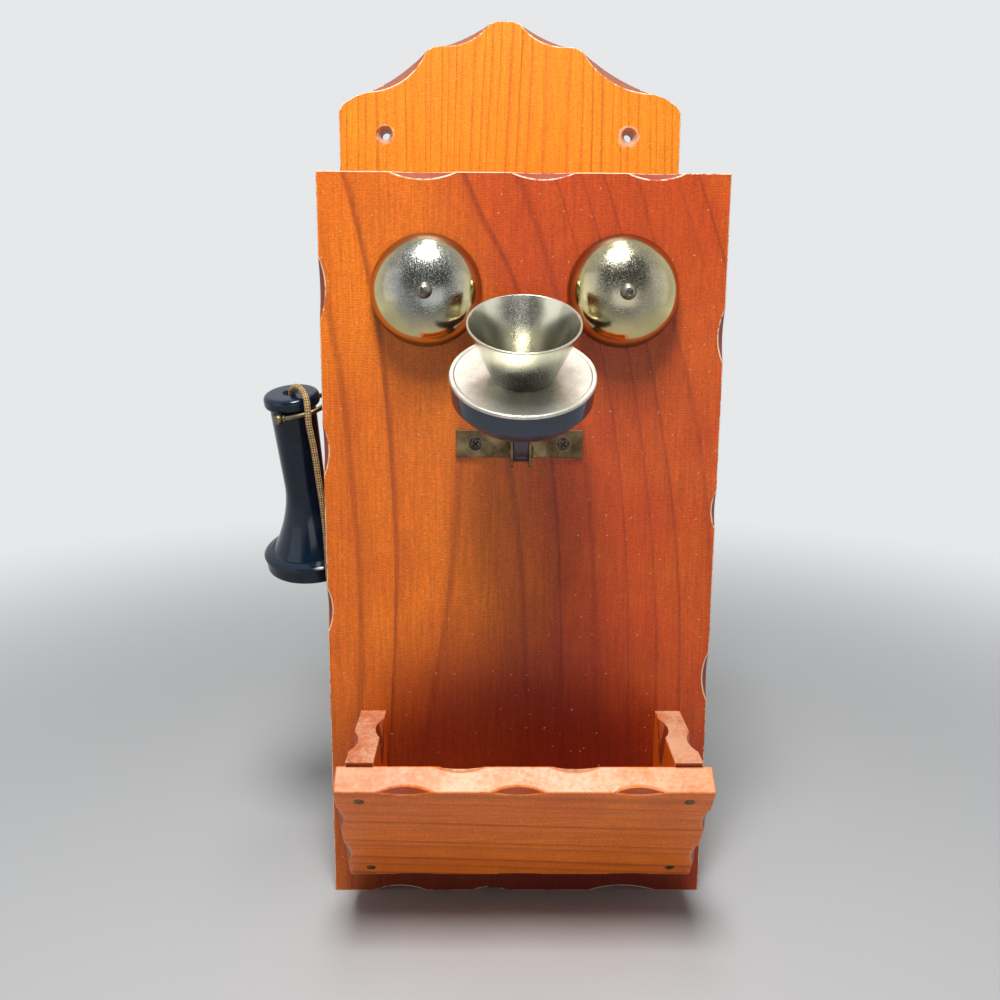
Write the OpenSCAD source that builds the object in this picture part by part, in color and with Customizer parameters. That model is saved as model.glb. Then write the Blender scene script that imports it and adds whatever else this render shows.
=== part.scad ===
// Wall telephone: a shallow pine case behind a wide front panel, with two gongs, a tilting
// transmitter, a receiver on a side hook and a letter pocket at the foot.
// Millimetres. X to the right, +Y to the wall, +Z up. The origin is on the underside of the
// case, in the middle of the panel's width and of the case's depth.

/* [Case] */
// Width of the front panel
panel_w = 220; // [180:1:270]
// Height of the front panel
panel_h = 418.5; // [345:0.5:505]
// Thickness of the front panel
panel_t = 15; // [12:0.5:18]
// Depth of the case between panel and back board
case_d = 73; // [72:1:90]
// How far the panel reaches past each case side
side_overhang = 22; // [18:1:28]
// How far the panel reaches past the case top
top_overhang = 10; // [6:1:14]
// Thickness of the case boards
case_t = 12; // [10:0.5:15]
// How far the back board reaches past each case side, before it is set sideways
board_past = 15.25; // [12:0.05:20]
// Height of the back board at the peak of its crown
board_h = 514; // [500:1:616]
// Thickness of the back board
board_t = 15; // [12:0.5:18]
// Sideways place of the back board behind the panel
board_x = -6; // [-8:0.5:0]
// Sideways place of the crown on the back board
crown_x = -3.5; // [-6:0.5:6]

/* [Wall holes] */
// Distance between the two wall screw holes
wall_hole_spacing = 148; // [120:1:170]
// Diameter of a wall screw hole
wall_hole_d = 5.5; // [4:0.1:7]
// Diameter of its countersink
wall_sink_d = 10.5; // [9:0.1:13]
// Depth of its countersink
wall_sink_depth = 3.5; // [2:0.1:6]
// Height of the wall screw holes below the crown's peak
wall_hole_drop = 64.5; // [56:0.5:76]

/* [Gongs] */
// Diameter of a gong
gong_d = 60.2; // [50:0.2:72]
// Height of a gong from rim to crown
gong_h = 23.7; // [18:0.1:28]
// Sheet thickness of a gong
gong_wall = 1.3; // [1:0.1:2]
// Gap between a gong's rim and the panel
gong_gap = 2; // [1:0.1:4]
// Distance between the gongs' centres
gong_spacing = 105.4; // [92:0.2:126]
// Height of the gongs' centres below the top of the panel
gong_drop = 61.5; // [50:0.5:80]
// Diameter of a gong post
gong_post_d = 10; // [8:0.5:14]
// Diameter of the gong screws' shanks
gong_screw_d = 4; // [3:0.1:5]
// Diameter of the gong screws' heads
gong_head_d = 8.6; // [7:0.1:10]

/* [Transmitter] */
// Width of the brass bracket plate
bracket_w = 70.3; // [60:0.1:85]
// Height of the bracket plate
bracket_h = 15.4; // [13:0.1:19]
// Sheet thickness of the bracket
bracket_t = 1.5; // [1.2:0.1:2]
// Height of the bracket's middle above the foot
bracket_z = 274; // [240:0.5:290]
// Reach of the bracket's ears in front of the panel
ear_reach = 35; // [30:0.5:42]
// Distance of the hinge pin in front of the panel
pivot_reach = 28.5; // [25:0.5:30]
// Clear distance between the ears
ear_gap = 8; // [6:0.1:10]
// Diameter of the hinge pin
pivot_d = 4; // [3:0.1:5]
// Forward tilt of the transmitter from upright
transmitter_tilt = 28.7; // [17:0.1:88]
// Distance from hinge pin to the front of the face plate
face_reach = 48.3; // [46:0.1:60]
// Diameter of the face plate
face_d = 74; // [62:0.5:88]
// Thickness of the face plate
face_t = 1.6; // [1.2:0.1:2.5]
// Depth of the transmitter cup
cup_depth = 13; // [11:0.5:16]
// Length of the mouthpiece horn
horn_len = 29.4; // [25:0.1:36]
// Diameter of the horn's rim
horn_rim_d = 56.4; // [47:0.1:68]
// Diameter of the horn's base
horn_base_d = 32.6; // [28:0.1:39]
// Wall of the horn
horn_wall = 1.2; // [1:0.1:2]

/* [Receiver] */
// Length of the receiver from top cap to ear cap
receiver_len = 112; // [94:0.5:134]
// Diameter of the top cap
top_cap_d = 32.4; // [31.6:0.1:38]
// Thickness of the top cap
top_cap_t = 7.5; // [6:0.1:9]
// Diameter of the barrel under the top cap
neck_d = 26.8; // [24:0.1:27]
// Diameter of the ear cap's flange
ear_cap_d = 62.6; // [54:0.1:66]
// Height of the ear cap
ear_cap_t = 12; // [10:0.5:15]
// Wall of the barrel
shell_wall = 2.2; // [1.8:0.1:3]
// Distance of the receiver's neck from the case side
neck_out = 44.8; // [42:0.1:52]
// Distance of the receiver's neck behind the panel
neck_back = 20.4; // [20:0.1:24]
// Height of the receiver's neck above the foot
neck_z = 291.4; // [270:0.1:330]
// Lean of the receiver's foot towards the wall
lean_back = 14.9; // [12:0.1:16]
// Lean of the receiver's foot towards the case
lean_side = 3.8; // [2:0.1:6]

/* [Hook] */
// Diameter of the fork's wire
wire_d = 2.8; // [2.4:0.1:3]
// Distance between the middles of the fork's tines
fork_w = 33.2; // [33:0.1:36]
// Diameter of the balls on the tines
ball_d = 6; // [5:0.1:6.2]
// Downward slope of the fork
fork_slope = 11; // [8:0.5:14]
// Diameter of the fork's shank
shank_d = 4; // [3:0.1:5]
// Distance from the case's left face to the hook's pivot
hook_pivot_in = 26; // [24:0.5:32]
// Upward travel of the hook in degrees
hook_travel = 12; // [6:1:14]

/* [Letter pocket] */
// Width of the pocket front
pocket_w = 197.2; // [165:0.2:236]
// Height of the pocket front along its face
pocket_h = 99.3; // [83:0.1:119]
// Thickness of the pocket front
pocket_t = 15.3; // [12:0.1:18]
// Outward lean of the pocket front
pocket_lean = 35.3; // [25:0.1:45]
// Height of the pocket front's lower front edge above the foot
pocket_z = 23.7; // [10:0.1:40]
// Gap between the pocket front and the panel at the pocket's foot
pocket_gap = 9; // [6:0.5:14]
// Thickness of the pocket's side brackets
pocket_side_t = 14.8; // [12:0.1:18]
// Diameter of the pocket nails' heads
nail_head_d = 5.5; // [4:0.1:7]

/* [Cord] */
// Diameter of the braided cord
cord_d = 3.6; // [3:0.1:4]

/* [Fits] */
// Radial clearance of a turning pin
running_clear = 0.05; // [0.02:0.01:0.1]
// Radial clearance of a screw or nail in its hole
pilot_clear = 0.05; // [0.02:0.01:0.2]
// Gap between parts that move past each other
move_clear = 0.3; // [0.2:0.05:0.5]

/* [Hidden] */

round_fn = 96;
small_fn = 32;
eps = 1;                                   // how far a cutting tool runs past a face

// Planes of the case
panel_back = -case_d / 2;
panel_front = panel_back - panel_t;
board_front = case_d / 2;
board_back = board_front + board_t;
case_w = panel_w - 2 * side_overhang;
case_h = panel_h - top_overhang;
board_w = case_w + 2 * board_past;
left_face = -case_w / 2;

// Edge gouges: [place along the edge as a share of its length, length, depth], each edge
// taken clockwise from its own middle as the front is seen
gouge_slope = 38;                          // rise of a gouge behind the face it starts from
gouge_top = [[-0.244, 36.4, 4], [0.046, 34.3, 3.8], [0.32, 31.2, 3.6]];
gouge_right = [[-0.297, 29, 3.4], [-0.066, 22.5, 2.6], [0.171, 30.2, 3.4]];
gouge_bottom = [[-0.29, 40.8, 3.4], [0.074, 20.6, 2.4], [0.321, 32.2, 3.4]];
gouge_left = [[-0.076, 26.2, 3], [0.144, 28.6, 3.2], [0.354, 34.8, 3.6]];
pocket_gouge_top = [[-0.313, 31, 3.4], [-0.017, 30.5, 3.4], [0.3, 29, 3.2]];
pocket_gouge_back = [[-0.17, 27, 2.6], [0.135, 27, 2.6]];
pocket_gouge_side = [[-0.2, 24, 3], [0.22, 24, 3]];
pocket_gouge_bottom = [[-0.32, 34, 1.4], [0, 36, 1.4], [0.31, 34, 1.4]];
side_gouge_len = 26;
side_gouge_depth = 3.5;
side_gouge_drop = 22;
side_gouge_out = 0.36;                     // middle of the outer hollow, as a share of the reach
side_gouge_in = 0.62;                      // middle of the inner hollow

// Crown: [distance, drop below the peak], from the board's side or from the crown's middle
crown_shoulder = [[0, 51.5], [2.5, 47], [10, 42.5]];
crown_foot_in = 19;
crown_foot_drop = 39.8;
crown_step = [[47, 17], [43, 14.6]];
crown_neck = [36, 13.8];
crown_peak = [9.5, 1.6];
crown_tip = 4.5;
crown_low_depth = 6;
crown_high_depth = 3.8;
crown_gouge_slope = 28;
crown_gouge_past = 0.6;                    // how far a scallop runs past its two points

// Back board screws
back_screw_d = 3.5;
back_screw_head_d = 7;
back_screw_len = 32;
back_screw_z = [30, case_h / 2, case_h - 30];
recess_w = 1.1;                            // width of a cross recess arm

// Gongs
gong_x0 = 0.9;                             // middle between the gongs
gong_z = panel_h - gong_drop;
gong_power = 2.3;                          // fullness of the dome
dome_steps = 16;
gong_head_t = 4.2;
gong_screw_grip = 10;                      // depth of a gong screw in the panel
gong_screw_len = gong_h + gong_gap + gong_screw_grip;

// Transmitter
bracket_x = -1.2;
ear_corner_r = 1.6;
pivot = [bracket_x, panel_front - pivot_reach, bracket_z];
bracket_screw_x = bracket_w / 2 - 10.9;
bracket_screw_d = 3.6;
bracket_head_d = 8;
bracket_screw_len = 14;
pin_head_d = 6.4;
pin_head_t = 1.2;
lug_w = ear_gap - 4 * running_clear;
lug_r = 5.5;
cup_r = face_d / 2 - 0.8;
cup_wall = 3;
cup_round = 3;
cup_back = face_reach - face_t - cup_depth;
dome_h = 11;
stem_r = 8;
capsule_r = cup_r - cup_wall - 3;
capsule_t = 6;
face_rim = 0.4;                            // height of the face plate's rim
face_rim_w = 2.2;
face_rim_slope = 0.6;
sound_hole_d = 2.4;
sound_ring_r = 6;

// Receiver, in its own frame: z = 0 under the top cap, the ear cap below
neck = [left_face - neck_out, panel_back + neck_back, neck_z];
shell_len = receiver_len - top_cap_t - ear_cap_t;
shell_taper = 0.024;                       // how much the barrel narrows, per mm
flare_start = shell_len - 42;
flare_gain = 0.0164;
flare_power = 1.8;
shell_steps = 26;
cap_spigot_len = 6;
cord_hole_r = 2.9;
cord_mouth_r = 5;
ear_plate_t = 4;
ear_wall = 3.4;
ear_bottom_t = 3.5;
ear_dish = 2.5;
ear_hole_r = 4.5;
spigot_r = 24;

// Hook
fork_centre = 4;                           // middle of the fork's bend from the neck
tine_len = fork_centre + 6;
fork_drop = wire_d / 2 + 2 * move_clear;   // wire's middle below the top cap
hub_r = 6;
hub_len = 9;
shank_grip = 1;                            // how far the shank reaches into the hub
tail_len = 15.2;
tail_t = 1.5;
tail_hole_d = 1.4;
eye_r = 2;                                 // middle radius of the spring's eyes
function fork_point(p) =
    let (a = [p[0] * cos(fork_slope) - p[2] * sin(fork_slope), p[1],
              p[0] * sin(fork_slope) + p[2] * cos(fork_slope)])
    neck + [a[0], a[1] * cos(lean_back) - a[2] * sin(lean_back),
            a[1] * sin(lean_back) + a[2] * cos(lean_back)];
fork_root = fork_point([0, 0, -fork_drop]);
shank_dir = fork_point([1, 0, -fork_drop]) - fork_root;
shank_len = (left_face + hook_pivot_in - fork_root[0]) / shank_dir[0];
hook_pivot = fork_root + shank_len * shank_dir;
slot_w = shank_d + 2.4;
slot_low = hook_pivot[2] - hook_pivot_in * tan(fork_slope) - shank_d / 2 - 1.2;
slot_high = hook_pivot[2] + hook_pivot_in * tan(max(0, hook_travel - fork_slope)) + shank_d / 2
    + 1.5;
slot_y = hook_pivot[1] - shank_dir[1] * hook_pivot_in * 0.75;
hook_plate_t = 1.5;
hook_plate_w = 20;
hook_plate_h = 34;
hook_screw_in = 4;                         // screw's middle from the plate's end
hook_screw_d = 2.5;
hook_screw_head_d = 5;
hook_screw_len = 9;
arm_gap = hub_len + 0.6;
arm_h = 12;
spring_d = 6;
spring_wire = 0.8;
spring_turns = 24;
spring_x = hook_pivot[0] + tail_len - 1.2;
spring_top = hook_pivot[2] - eye_r;
spring_len = spring_turns * spring_wire;
low_eye_z = spring_top - spring_len - eye_r;
anchor_d = 2;
anchor_drop = 0.4;                         // anchor's middle below the middle of the lower eye
anchor_base_d = 8;
anchor_base_t = 2;
anchor_past = 3;                           // anchor's end beyond the spring's middle

// Cord: the route of its middle, from inside the top cap to the grommet's mouth
grommet_y = 16.5;
grommet_z = 151.5;
grommet_flange_t = 2;
grommet_flange_d = 12;
grommet_body_d = 8;
grommet_bore_d = cord_d + 1;
cord_end_x = left_face - grommet_flange_t;
cord_points = [
    [-133, -16.5, 293], [-133, -18, 297.5], [-131.5, -21, 301], [-128, -25.5, 302.5],
    [-124, -30.5, 300.5], [-121.5, -34.5, 296], [-120.5, -36.5, 289.5], [-120, -36.5, 281],
    [-118, -35, 268], [-116, -33.5, 250], [-114, -31.5, 230], [-113, -29.5, 210],
    [-112.5, -28, 190], [-111, -26, 170], [-107, -22, 145], [-103, -18, 120],
    [-100.5, -13, 95], [-100, -5, 76], [-100, 5, 70], [-100, 14, 78],
    [-100, 18, 96], [-100.5, 18, 118], [-100, 17, 137], [-96.5, 16.5, 148.5],
    [cord_end_x - 1.5, grommet_y, grommet_z], [cord_end_x, grommet_y, grommet_z]];
cord_sides = 8;
ring_guide = [0.3, 1, 0.1];
cord_steps = 2;

// Letter pocket: the foot of its back face, then its own frame
pocket_x = 1.2;
pocket_foot_y = panel_front - pocket_gap;
pocket_foot_z = pocket_z + pocket_t * sin(pocket_lean);
pocket_side_top = 116.4;
pocket_corner_r = 3;                       // round of the pocket front's lower corners
bracket_out_x = pocket_w / 2 - 5.2;        // bracket's outer face from the pocket's middle
nail_in_x = 12.6;
nail_in_z = 9.8;
nail_d = 2.4;
nail_head_t = 1;
nail_len = 29;
floor_t = 5;

// ---------------------------------------------------------------- shared shapes

// A hollow cut with a round gouge across the edge that runs clockwise from p to q in the XZ
// plane of a board: deepest at the front face (y = 0), and rising at a slope behind it until
// it runs out. t is the board's thickness
module gouge(p, q, depth, slope, t) {
    d = q - p;
    chord = norm(d);
    square_depth = depth * cos(slope);     // depth of the hollow, square to its own axis
    r = (chord * chord / 4 + square_depth * square_depth) / (2 * square_depth);
    lead = r * tan(slope) + t;             // how far the cutter starts in front of the face
    translate([(p[0] + q[0]) / 2, 0, (p[1] + q[1]) / 2])
        rotate([0, -atan2(d[1], d[0]), 0])
            translate([0, 0, (r - square_depth) / cos(slope)])
                rotate([slope - 90, 0, 0])
                    translate([0, 0, -lead])
                        cylinder(r = r, h = lead + 2 * t, $fn = round_fn);
}

// One row of gouges along the edge from a to b
module gouge_row(a, b, row, t) {
    len = norm(b - a);
    dir = (b - a) / len;
    mid = (a + b) / 2;
    for (g = row) {
        c = mid + dir * g[0] * len;
        gouge(c - dir * g[1] / 2, c + dir * g[1] / 2, g[2], gouge_slope, t);
    }
}

// Cross recess of a screw head, cut down from z = 0
module cross_recess(size, depth) {
    for (a = [0, 90])
        rotate([0, 0, a])
            translate([-size / 2, -recess_w / 2, -depth])
                cube([size, recess_w, depth + eps]);
}

// Countersunk wood screw along -Z, its head flush with z = 0
module flat_screw(d, head_d, len) {
    head_t = (head_d - d) / 2;
    difference() {
        union() {
            translate([0, 0, -head_t]) cylinder(d1 = d, d2 = head_d, h = head_t, $fn = small_fn);
            translate([0, 0, -len]) cylinder(d = d, h = len, $fn = small_fn);
        }
        cross_recess(head_d * 0.6, head_t * 0.8);
    }
}

module flat_screw_hole(d, head_d, len) {
    head_t = (head_d - d) / 2;
    translate([0, 0, -head_t])
        cylinder(d1 = d + 2 * pilot_clear, d2 = head_d + 2 * pilot_clear, h = head_t,
                 $fn = small_fn);
    cylinder(d = head_d + 2 * pilot_clear, h = eps, $fn = small_fn);
    translate([0, 0, -len - eps]) cylinder(d = d + 2 * pilot_clear, h = len + eps, $fn = small_fn);
}

// Round-headed wood screw along -Z, the head standing on z = 0
module round_screw(d, head_d, head_t, len) {
    dome_r = (head_d * head_d / 4 + head_t * head_t) / (2 * head_t);
    difference() {
        union() {
            intersection() {
                translate([0, 0, head_t - dome_r]) sphere(r = dome_r, $fn = round_fn);
                cylinder(d = head_d, h = head_t + eps, $fn = small_fn);
            }
            translate([0, 0, -len]) cylinder(d = d, h = len + eps, $fn = small_fn);
        }
        translate([0, 0, head_t]) cross_recess(head_d * 0.5, head_t * 0.6);
    }
}

// ---------------------------------------------------------------- case

function crown_side(s) = concat(
    [for (c = crown_shoulder) [s * (board_w / 2 - c[0]), board_h - c[1]]],
    [[s * (board_w / 2 - crown_foot_in), board_h - crown_foot_drop]],
    [for (c = crown_step) [crown_x + s * c[0], board_h - c[1]]],
    [[crown_x + s * crown_neck[0], board_h - crown_neck[1]],
     [crown_x + s * crown_peak[0], board_h - crown_peak[1]],
     [crown_x + s * crown_tip, board_h]]);

// Points of crown_side() between which a scallop is cut
crown_foot_i = len(crown_shoulder);
crown_neck_i = crown_foot_i + len(crown_step) + 1;

module crown_scallop(p, q, depth) {
    past = crown_gouge_past * (q - p) / norm(q - p);
    gouge(p - past, q + past, depth, crown_gouge_slope, board_t);
}

module back_board() {
    left = crown_side(-1);
    right = crown_side(1);
    n = len(right);
    color("#d9761f")
        translate([board_x, board_front, 0])
            difference() {
                translate([0, board_t, 0])
                    rotate([90, 0, 0])
                        linear_extrude(board_t)
                            polygon(concat([[-board_w / 2, 0]], left,
                                           [for (i = [n - 1:-1:0]) right[i]],
                                           [[board_w / 2, 0]]));
                crown_scallop(left[crown_foot_i], left[crown_foot_i + 1], crown_low_depth);
                crown_scallop(left[crown_neck_i], left[crown_neck_i + 1], crown_high_depth);
                crown_scallop(right[crown_neck_i + 1], right[crown_neck_i], crown_high_depth);
                crown_scallop(right[crown_foot_i + 1], right[crown_foot_i], crown_low_depth);
                wall_holes();
                translate([-board_x, -board_front, 0]) at_back_screws()
                    flat_screw_hole(back_screw_d, back_screw_head_d, back_screw_len);
            }
}

module wall_holes() {
    for (s = [-1, 1])
        translate([crown_x / 2 + s * wall_hole_spacing / 2, 0, board_h - wall_hole_drop])
            rotate([-90, 0, 0]) {
                translate([0, 0, -eps]) cylinder(d = wall_hole_d, h = board_t + 2 * eps,
                                                 $fn = small_fn);
                cylinder(d1 = wall_sink_d, d2 = wall_hole_d, h = wall_sink_depth, $fn = small_fn);
            }
}

module at_back_screws() {
    for (s = [-1, 1], z = back_screw_z)
        translate([s * (case_w - case_t) / 2, board_back, z])
            rotate([-90, 0, 0]) children();
}

module back_screws() {
    color("#8d8a80") at_back_screws() flat_screw(back_screw_d, back_screw_head_d, back_screw_len);
}

module case_side(s) {
    translate([s > 0 ? case_w / 2 - case_t : -case_w / 2, panel_back, 0])
        cube([case_t, case_d, case_h]);
}

module case_left_side() {
    color("#c2611c")
        difference() {
            case_side(-1);
            at_back_screws() flat_screw_hole(back_screw_d, back_screw_head_d, back_screw_len);
            hook_slot(case_t);
            grommet_hole();
            at_hook_bracket_screws()
                flat_screw_hole(hook_screw_d, hook_screw_head_d, hook_screw_len);
        }
}

module case_right_side() {
    color("#c2611c")
        difference() {
            case_side(1);
            at_back_screws() flat_screw_hole(back_screw_d, back_screw_head_d, back_screw_len);
        }
}

module case_shelf(z) {
    translate([-case_w / 2 + case_t, panel_back, z])
        cube([case_w - 2 * case_t, case_d, case_t]);
}

module case_top() { color("#c2611c") case_shelf(case_h - case_t); }

module case_bottom() { color("#c2611c") case_shelf(0); }

module front_panel() {
    w = panel_w / 2;
    color("#b9481a")
        difference() {
            translate([0, panel_front, 0]) {
                difference() {
                    translate([-w, 0, 0]) cube([panel_w, panel_t, panel_h]);
                    gouge_row([-w, panel_h], [w, panel_h], gouge_top, panel_t);
                    gouge_row([w, panel_h], [w, 0], gouge_right, panel_t);
                    gouge_row([w, 0], [-w, 0], gouge_bottom, panel_t);
                    gouge_row([-w, 0], [-w, panel_h], gouge_left, panel_t);
                }
            }
            for (s = [-1, 1]) at_gong(s)
                cylinder(d = gong_screw_d + 2 * pilot_clear, h = 2 * gong_screw_grip + 1,
                         center = true, $fn = small_fn);
            at_bracket_screws() flat_screw_hole(bracket_screw_d, bracket_head_d, bracket_screw_len);
        }
}

// ---------------------------------------------------------------- gongs

// Frame of a gong: z = 0 on the panel's face, +Z out of the panel
module at_gong(s) {
    translate([gong_x0 + s * gong_spacing / 2, panel_front, gong_z]) rotate([90, 0, 0]) children();
}

// Outline of a dome from its rim to its crown
function dome(r, h) =
    [for (i = [0:dome_steps]) let (a = 90 * i / dome_steps)
        [r * pow(cos(a), 2 / gong_power), h * pow(sin(a), 2 / gong_power)]];

module gong(s) {
    inside = dome(gong_d / 2 - gong_wall, gong_h - gong_wall);
    color("#b9b184")
        at_gong(s)
            translate([0, 0, gong_gap])
                difference() {
                    rotate_extrude($fn = round_fn)
                        polygon(concat(dome(gong_d / 2, gong_h),
                                       [for (i = [dome_steps:-1:0]) inside[i]]));
                    cylinder(d = gong_screw_d + 2 * pilot_clear, h = gong_h + eps, $fn = small_fn);
                }
}

// Height inside the dome at a distance r from its middle
function inside_h(r) = (gong_h - gong_wall)
    * pow(1 - pow(r / (gong_d / 2 - gong_wall), gong_power), 1 / gong_power);

module gong_post(s) {
    seat = gong_gap + inside_h(gong_post_d / 2) - pilot_clear;
    color("#7d6a3c")
        at_gong(s)
            difference() {
                cylinder(d = gong_post_d, h = seat, $fn = small_fn);
                translate([0, 0, -eps])
                    cylinder(d = gong_screw_d + 2 * pilot_clear, h = gong_h + gong_gap + 2 * eps,
                             $fn = small_fn);
            }
}

module gong_screw(s) {
    color("#8f8d84")
        at_gong(s)
            translate([0, 0, gong_gap + gong_h])
                round_screw(gong_screw_d, gong_head_d, gong_head_t, gong_screw_len);
}

module left_gong() { gong(-1); }
module right_gong() { gong(1); }
module left_gong_post() { gong_post(-1); }
module right_gong_post() { gong_post(1); }
module left_gong_screw() { gong_screw(-1); }
module right_gong_screw() { gong_screw(1); }

// ---------------------------------------------------------------- transmitter

module at_bracket_screws() {
    for (s = [-1, 1])
        translate([bracket_x + s * bracket_screw_x, panel_front - bracket_t, bracket_z])
            rotate([90, 0, 0]) children();
}

module bracket_screws() {
    color("#5f4f3a")
        at_bracket_screws() flat_screw(bracket_screw_d, bracket_head_d, bracket_screw_len);
}

module bracket_ear(x) {
    translate([x, panel_front, bracket_z])
        difference() {
            union() {
                translate([0, ear_corner_r - ear_reach, -bracket_h / 2])
                    cube([bracket_t, ear_reach - ear_corner_r, bracket_h]);
                translate([0, -ear_reach, ear_corner_r - bracket_h / 2])
                    cube([bracket_t, ear_corner_r, bracket_h - 2 * ear_corner_r]);
                for (s = [-1, 1])
                    translate([0, ear_corner_r - ear_reach, s * (bracket_h / 2 - ear_corner_r)])
                        rotate([0, 90, 0])
                            cylinder(r = ear_corner_r, h = bracket_t, $fn = small_fn);
            }
            translate([-eps, -pivot_reach, 0])
                rotate([0, 90, 0])
                    cylinder(d = pivot_d + 2 * pilot_clear, h = bracket_t + 2 * eps, $fn = small_fn);
        }
}

module transmitter_bracket() {
    color("#94793a")
        difference() {
            union() {
                translate([bracket_x - bracket_w / 2, panel_front - bracket_t,
                           bracket_z - bracket_h / 2])
                    cube([bracket_w, bracket_t, bracket_h]);
                bracket_ear(bracket_x - ear_gap / 2 - bracket_t);
                bracket_ear(bracket_x + ear_gap / 2);
            }
            at_bracket_screws() flat_screw_hole(bracket_screw_d, bracket_head_d, bracket_screw_len);
        }
}

module transmitter_pin() {
    span = ear_gap + 2 * bracket_t;
    color("#8a7a4a")
        translate(pivot)
            rotate([0, 90, 0]) {
                cylinder(d = pivot_d, h = span + 2 * pin_head_t, center = true, $fn = small_fn);
                for (s = [-1, 1])
                    translate([0, 0, s * (span + pin_head_t) / 2])
                        cylinder(d = pin_head_d, h = pin_head_t, center = true, $fn = small_fn);
            }
}

// Frame of the transmitter: z = 0 on the hinge pin, +Z out of the mouthpiece
module at_transmitter() {
    translate(pivot) rotate([transmitter_tilt, 0, 0]) children();
}

module transmitter_cup() {
    color("#16181c")
        at_transmitter()
            difference() {
                union() {
                    rotate_extrude($fn = round_fn)
                        polygon(concat(
                            [[0, cup_back - dome_h]],
                            [for (i = [0:8]) let (a = 90 * i / 8)
                                [stem_r + (cup_r - cup_round - stem_r) * sin(a),
                                 cup_back - dome_h * cos(a)]],
                            [for (i = [1:6]) let (a = 90 * i / 6)
                                [cup_r - cup_round + cup_round * sin(a),
                                 cup_back + cup_round * (1 - cos(a))]],
                            [[cup_r, cup_back + cup_depth], [0, cup_back + cup_depth]]));
                    translate([-lug_w / 2, -lug_r, 0]) cube([lug_w, 2 * lug_r, cup_back - dome_h / 2]);
                    rotate([0, 90, 0])
                        cylinder(r = lug_r, h = lug_w, center = true, $fn = round_fn);
                }
                translate([0, 0, cup_back + cup_wall])
                    cylinder(r = cup_r - cup_wall, h = cup_depth, $fn = round_fn);
                rotate([0, 90, 0])
                    cylinder(d = pivot_d + 2 * running_clear, h = lug_w + 2 * eps, center = true,
                             $fn = small_fn);
            }
}

module transmitter_capsule() {
    color("#77797a")
        at_transmitter() {
            translate([0, 0, face_reach - face_t - capsule_t])
                cylinder(r = capsule_r, h = capsule_t, $fn = round_fn);
            translate([0, 0, cup_back + cup_wall])
                cylinder(r = stem_r, h = cup_depth - cup_wall - capsule_t, $fn = round_fn);
        }
}

module transmitter_face() {
    r = face_d / 2;
    color("#a9a58c")
        at_transmitter()
            translate([0, 0, face_reach - face_t])
                difference() {
                    rotate_extrude($fn = round_fn)
                        polygon([[0, 0], [r, 0], [r, face_t], [r - face_rim, face_t + face_rim],
                                 [r - face_rim_w, face_t + face_rim],
                                 [r - face_rim_w - face_rim_slope, face_t], [0, face_t]]);
                    sound_holes(face_t);
                }
}

module sound_holes(t) {
    translate([0, 0, -eps]) cylinder(d = sound_hole_d, h = t + 2 * eps, $fn = small_fn);
    for (a = [0:60:300])
        rotate([0, 0, a])
            translate([sound_ring_r, 0, -eps])
                cylinder(d = sound_hole_d, h = t + 2 * eps, $fn = small_fn);
}

module mouthpiece() {
    horn_floor = 1.4;
    lip = horn_wall / 2;
    base_in = horn_base_d / 2 - horn_wall;
    color("#b3ae94")
        at_transmitter()
            translate([0, 0, face_reach])
                difference() {
                    rotate_extrude($fn = round_fn)
                        polygon([[0, 0], [horn_base_d / 2, 0], [horn_rim_d / 2, horn_len - lip],
                                 [horn_rim_d / 2 - lip / 2, horn_len],
                                 [horn_rim_d / 2 - horn_wall, horn_len],
                                 [base_in, horn_floor], [0, horn_floor]]);
                    sound_holes(horn_floor);
                }
}

// ---------------------------------------------------------------- hook

// Frame of the fork: origin under the top cap, +X along the shank into the case
module at_fork() {
    translate(neck) rotate([lean_back, 0, 0]) rotate([0, -fork_slope, 0])
        translate([0, 0, -fork_drop]) children();
}

module hook_fork() {
    color("#ac8a45")
        at_fork() {
            for (s = [-1, 1]) {
                translate([fork_centre - tine_len, s * fork_w / 2, 0])
                    rotate([0, 90, 0]) cylinder(d = wire_d, h = tine_len, $fn = small_fn);
                translate([fork_centre - tine_len, s * fork_w / 2, 0])
                    sphere(d = ball_d, $fn = round_fn);
            }
            translate([fork_centre, 0, 0])
                rotate([0, 0, -90])
                    rotate_extrude(angle = 180, $fn = round_fn)
                        translate([fork_w / 2, 0]) circle(d = wire_d, $fn = small_fn);
            translate([fork_centre + fork_w / 2, 0, 0])
                rotate([0, 90, 0])
                    cylinder(d = shank_d,
                             h = shank_len - fork_centre - fork_w / 2 - hub_r + shank_grip,
                             $fn = small_fn);
        }
}

module hook_lever() {
    color("#8b8d8f")
        difference() {
            translate(hook_pivot) {
                rotate([90, 0, 0]) cylinder(r = hub_r, h = hub_len, center = true, $fn = round_fn);
                translate([0, -hub_len / 2, -tail_t / 2]) cube([tail_len, hub_len, tail_t]);
            }
            translate(hook_pivot)
                rotate([90, 0, 0])
                    cylinder(d = pivot_d + 2 * running_clear, h = hub_len + 2 * eps, center = true,
                             $fn = small_fn);
            translate([spring_x - eye_r, hook_pivot[1], hook_pivot[2]])
                cylinder(d = tail_hole_d, h = 4 * tail_t, center = true, $fn = small_fn);
            at_fork()
                rotate([0, 90, 0])
                    cylinder(d = shank_d + 2 * pilot_clear,
                             h = shank_len - hub_r + shank_grip + pilot_clear, $fn = small_fn);
        }
}

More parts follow.
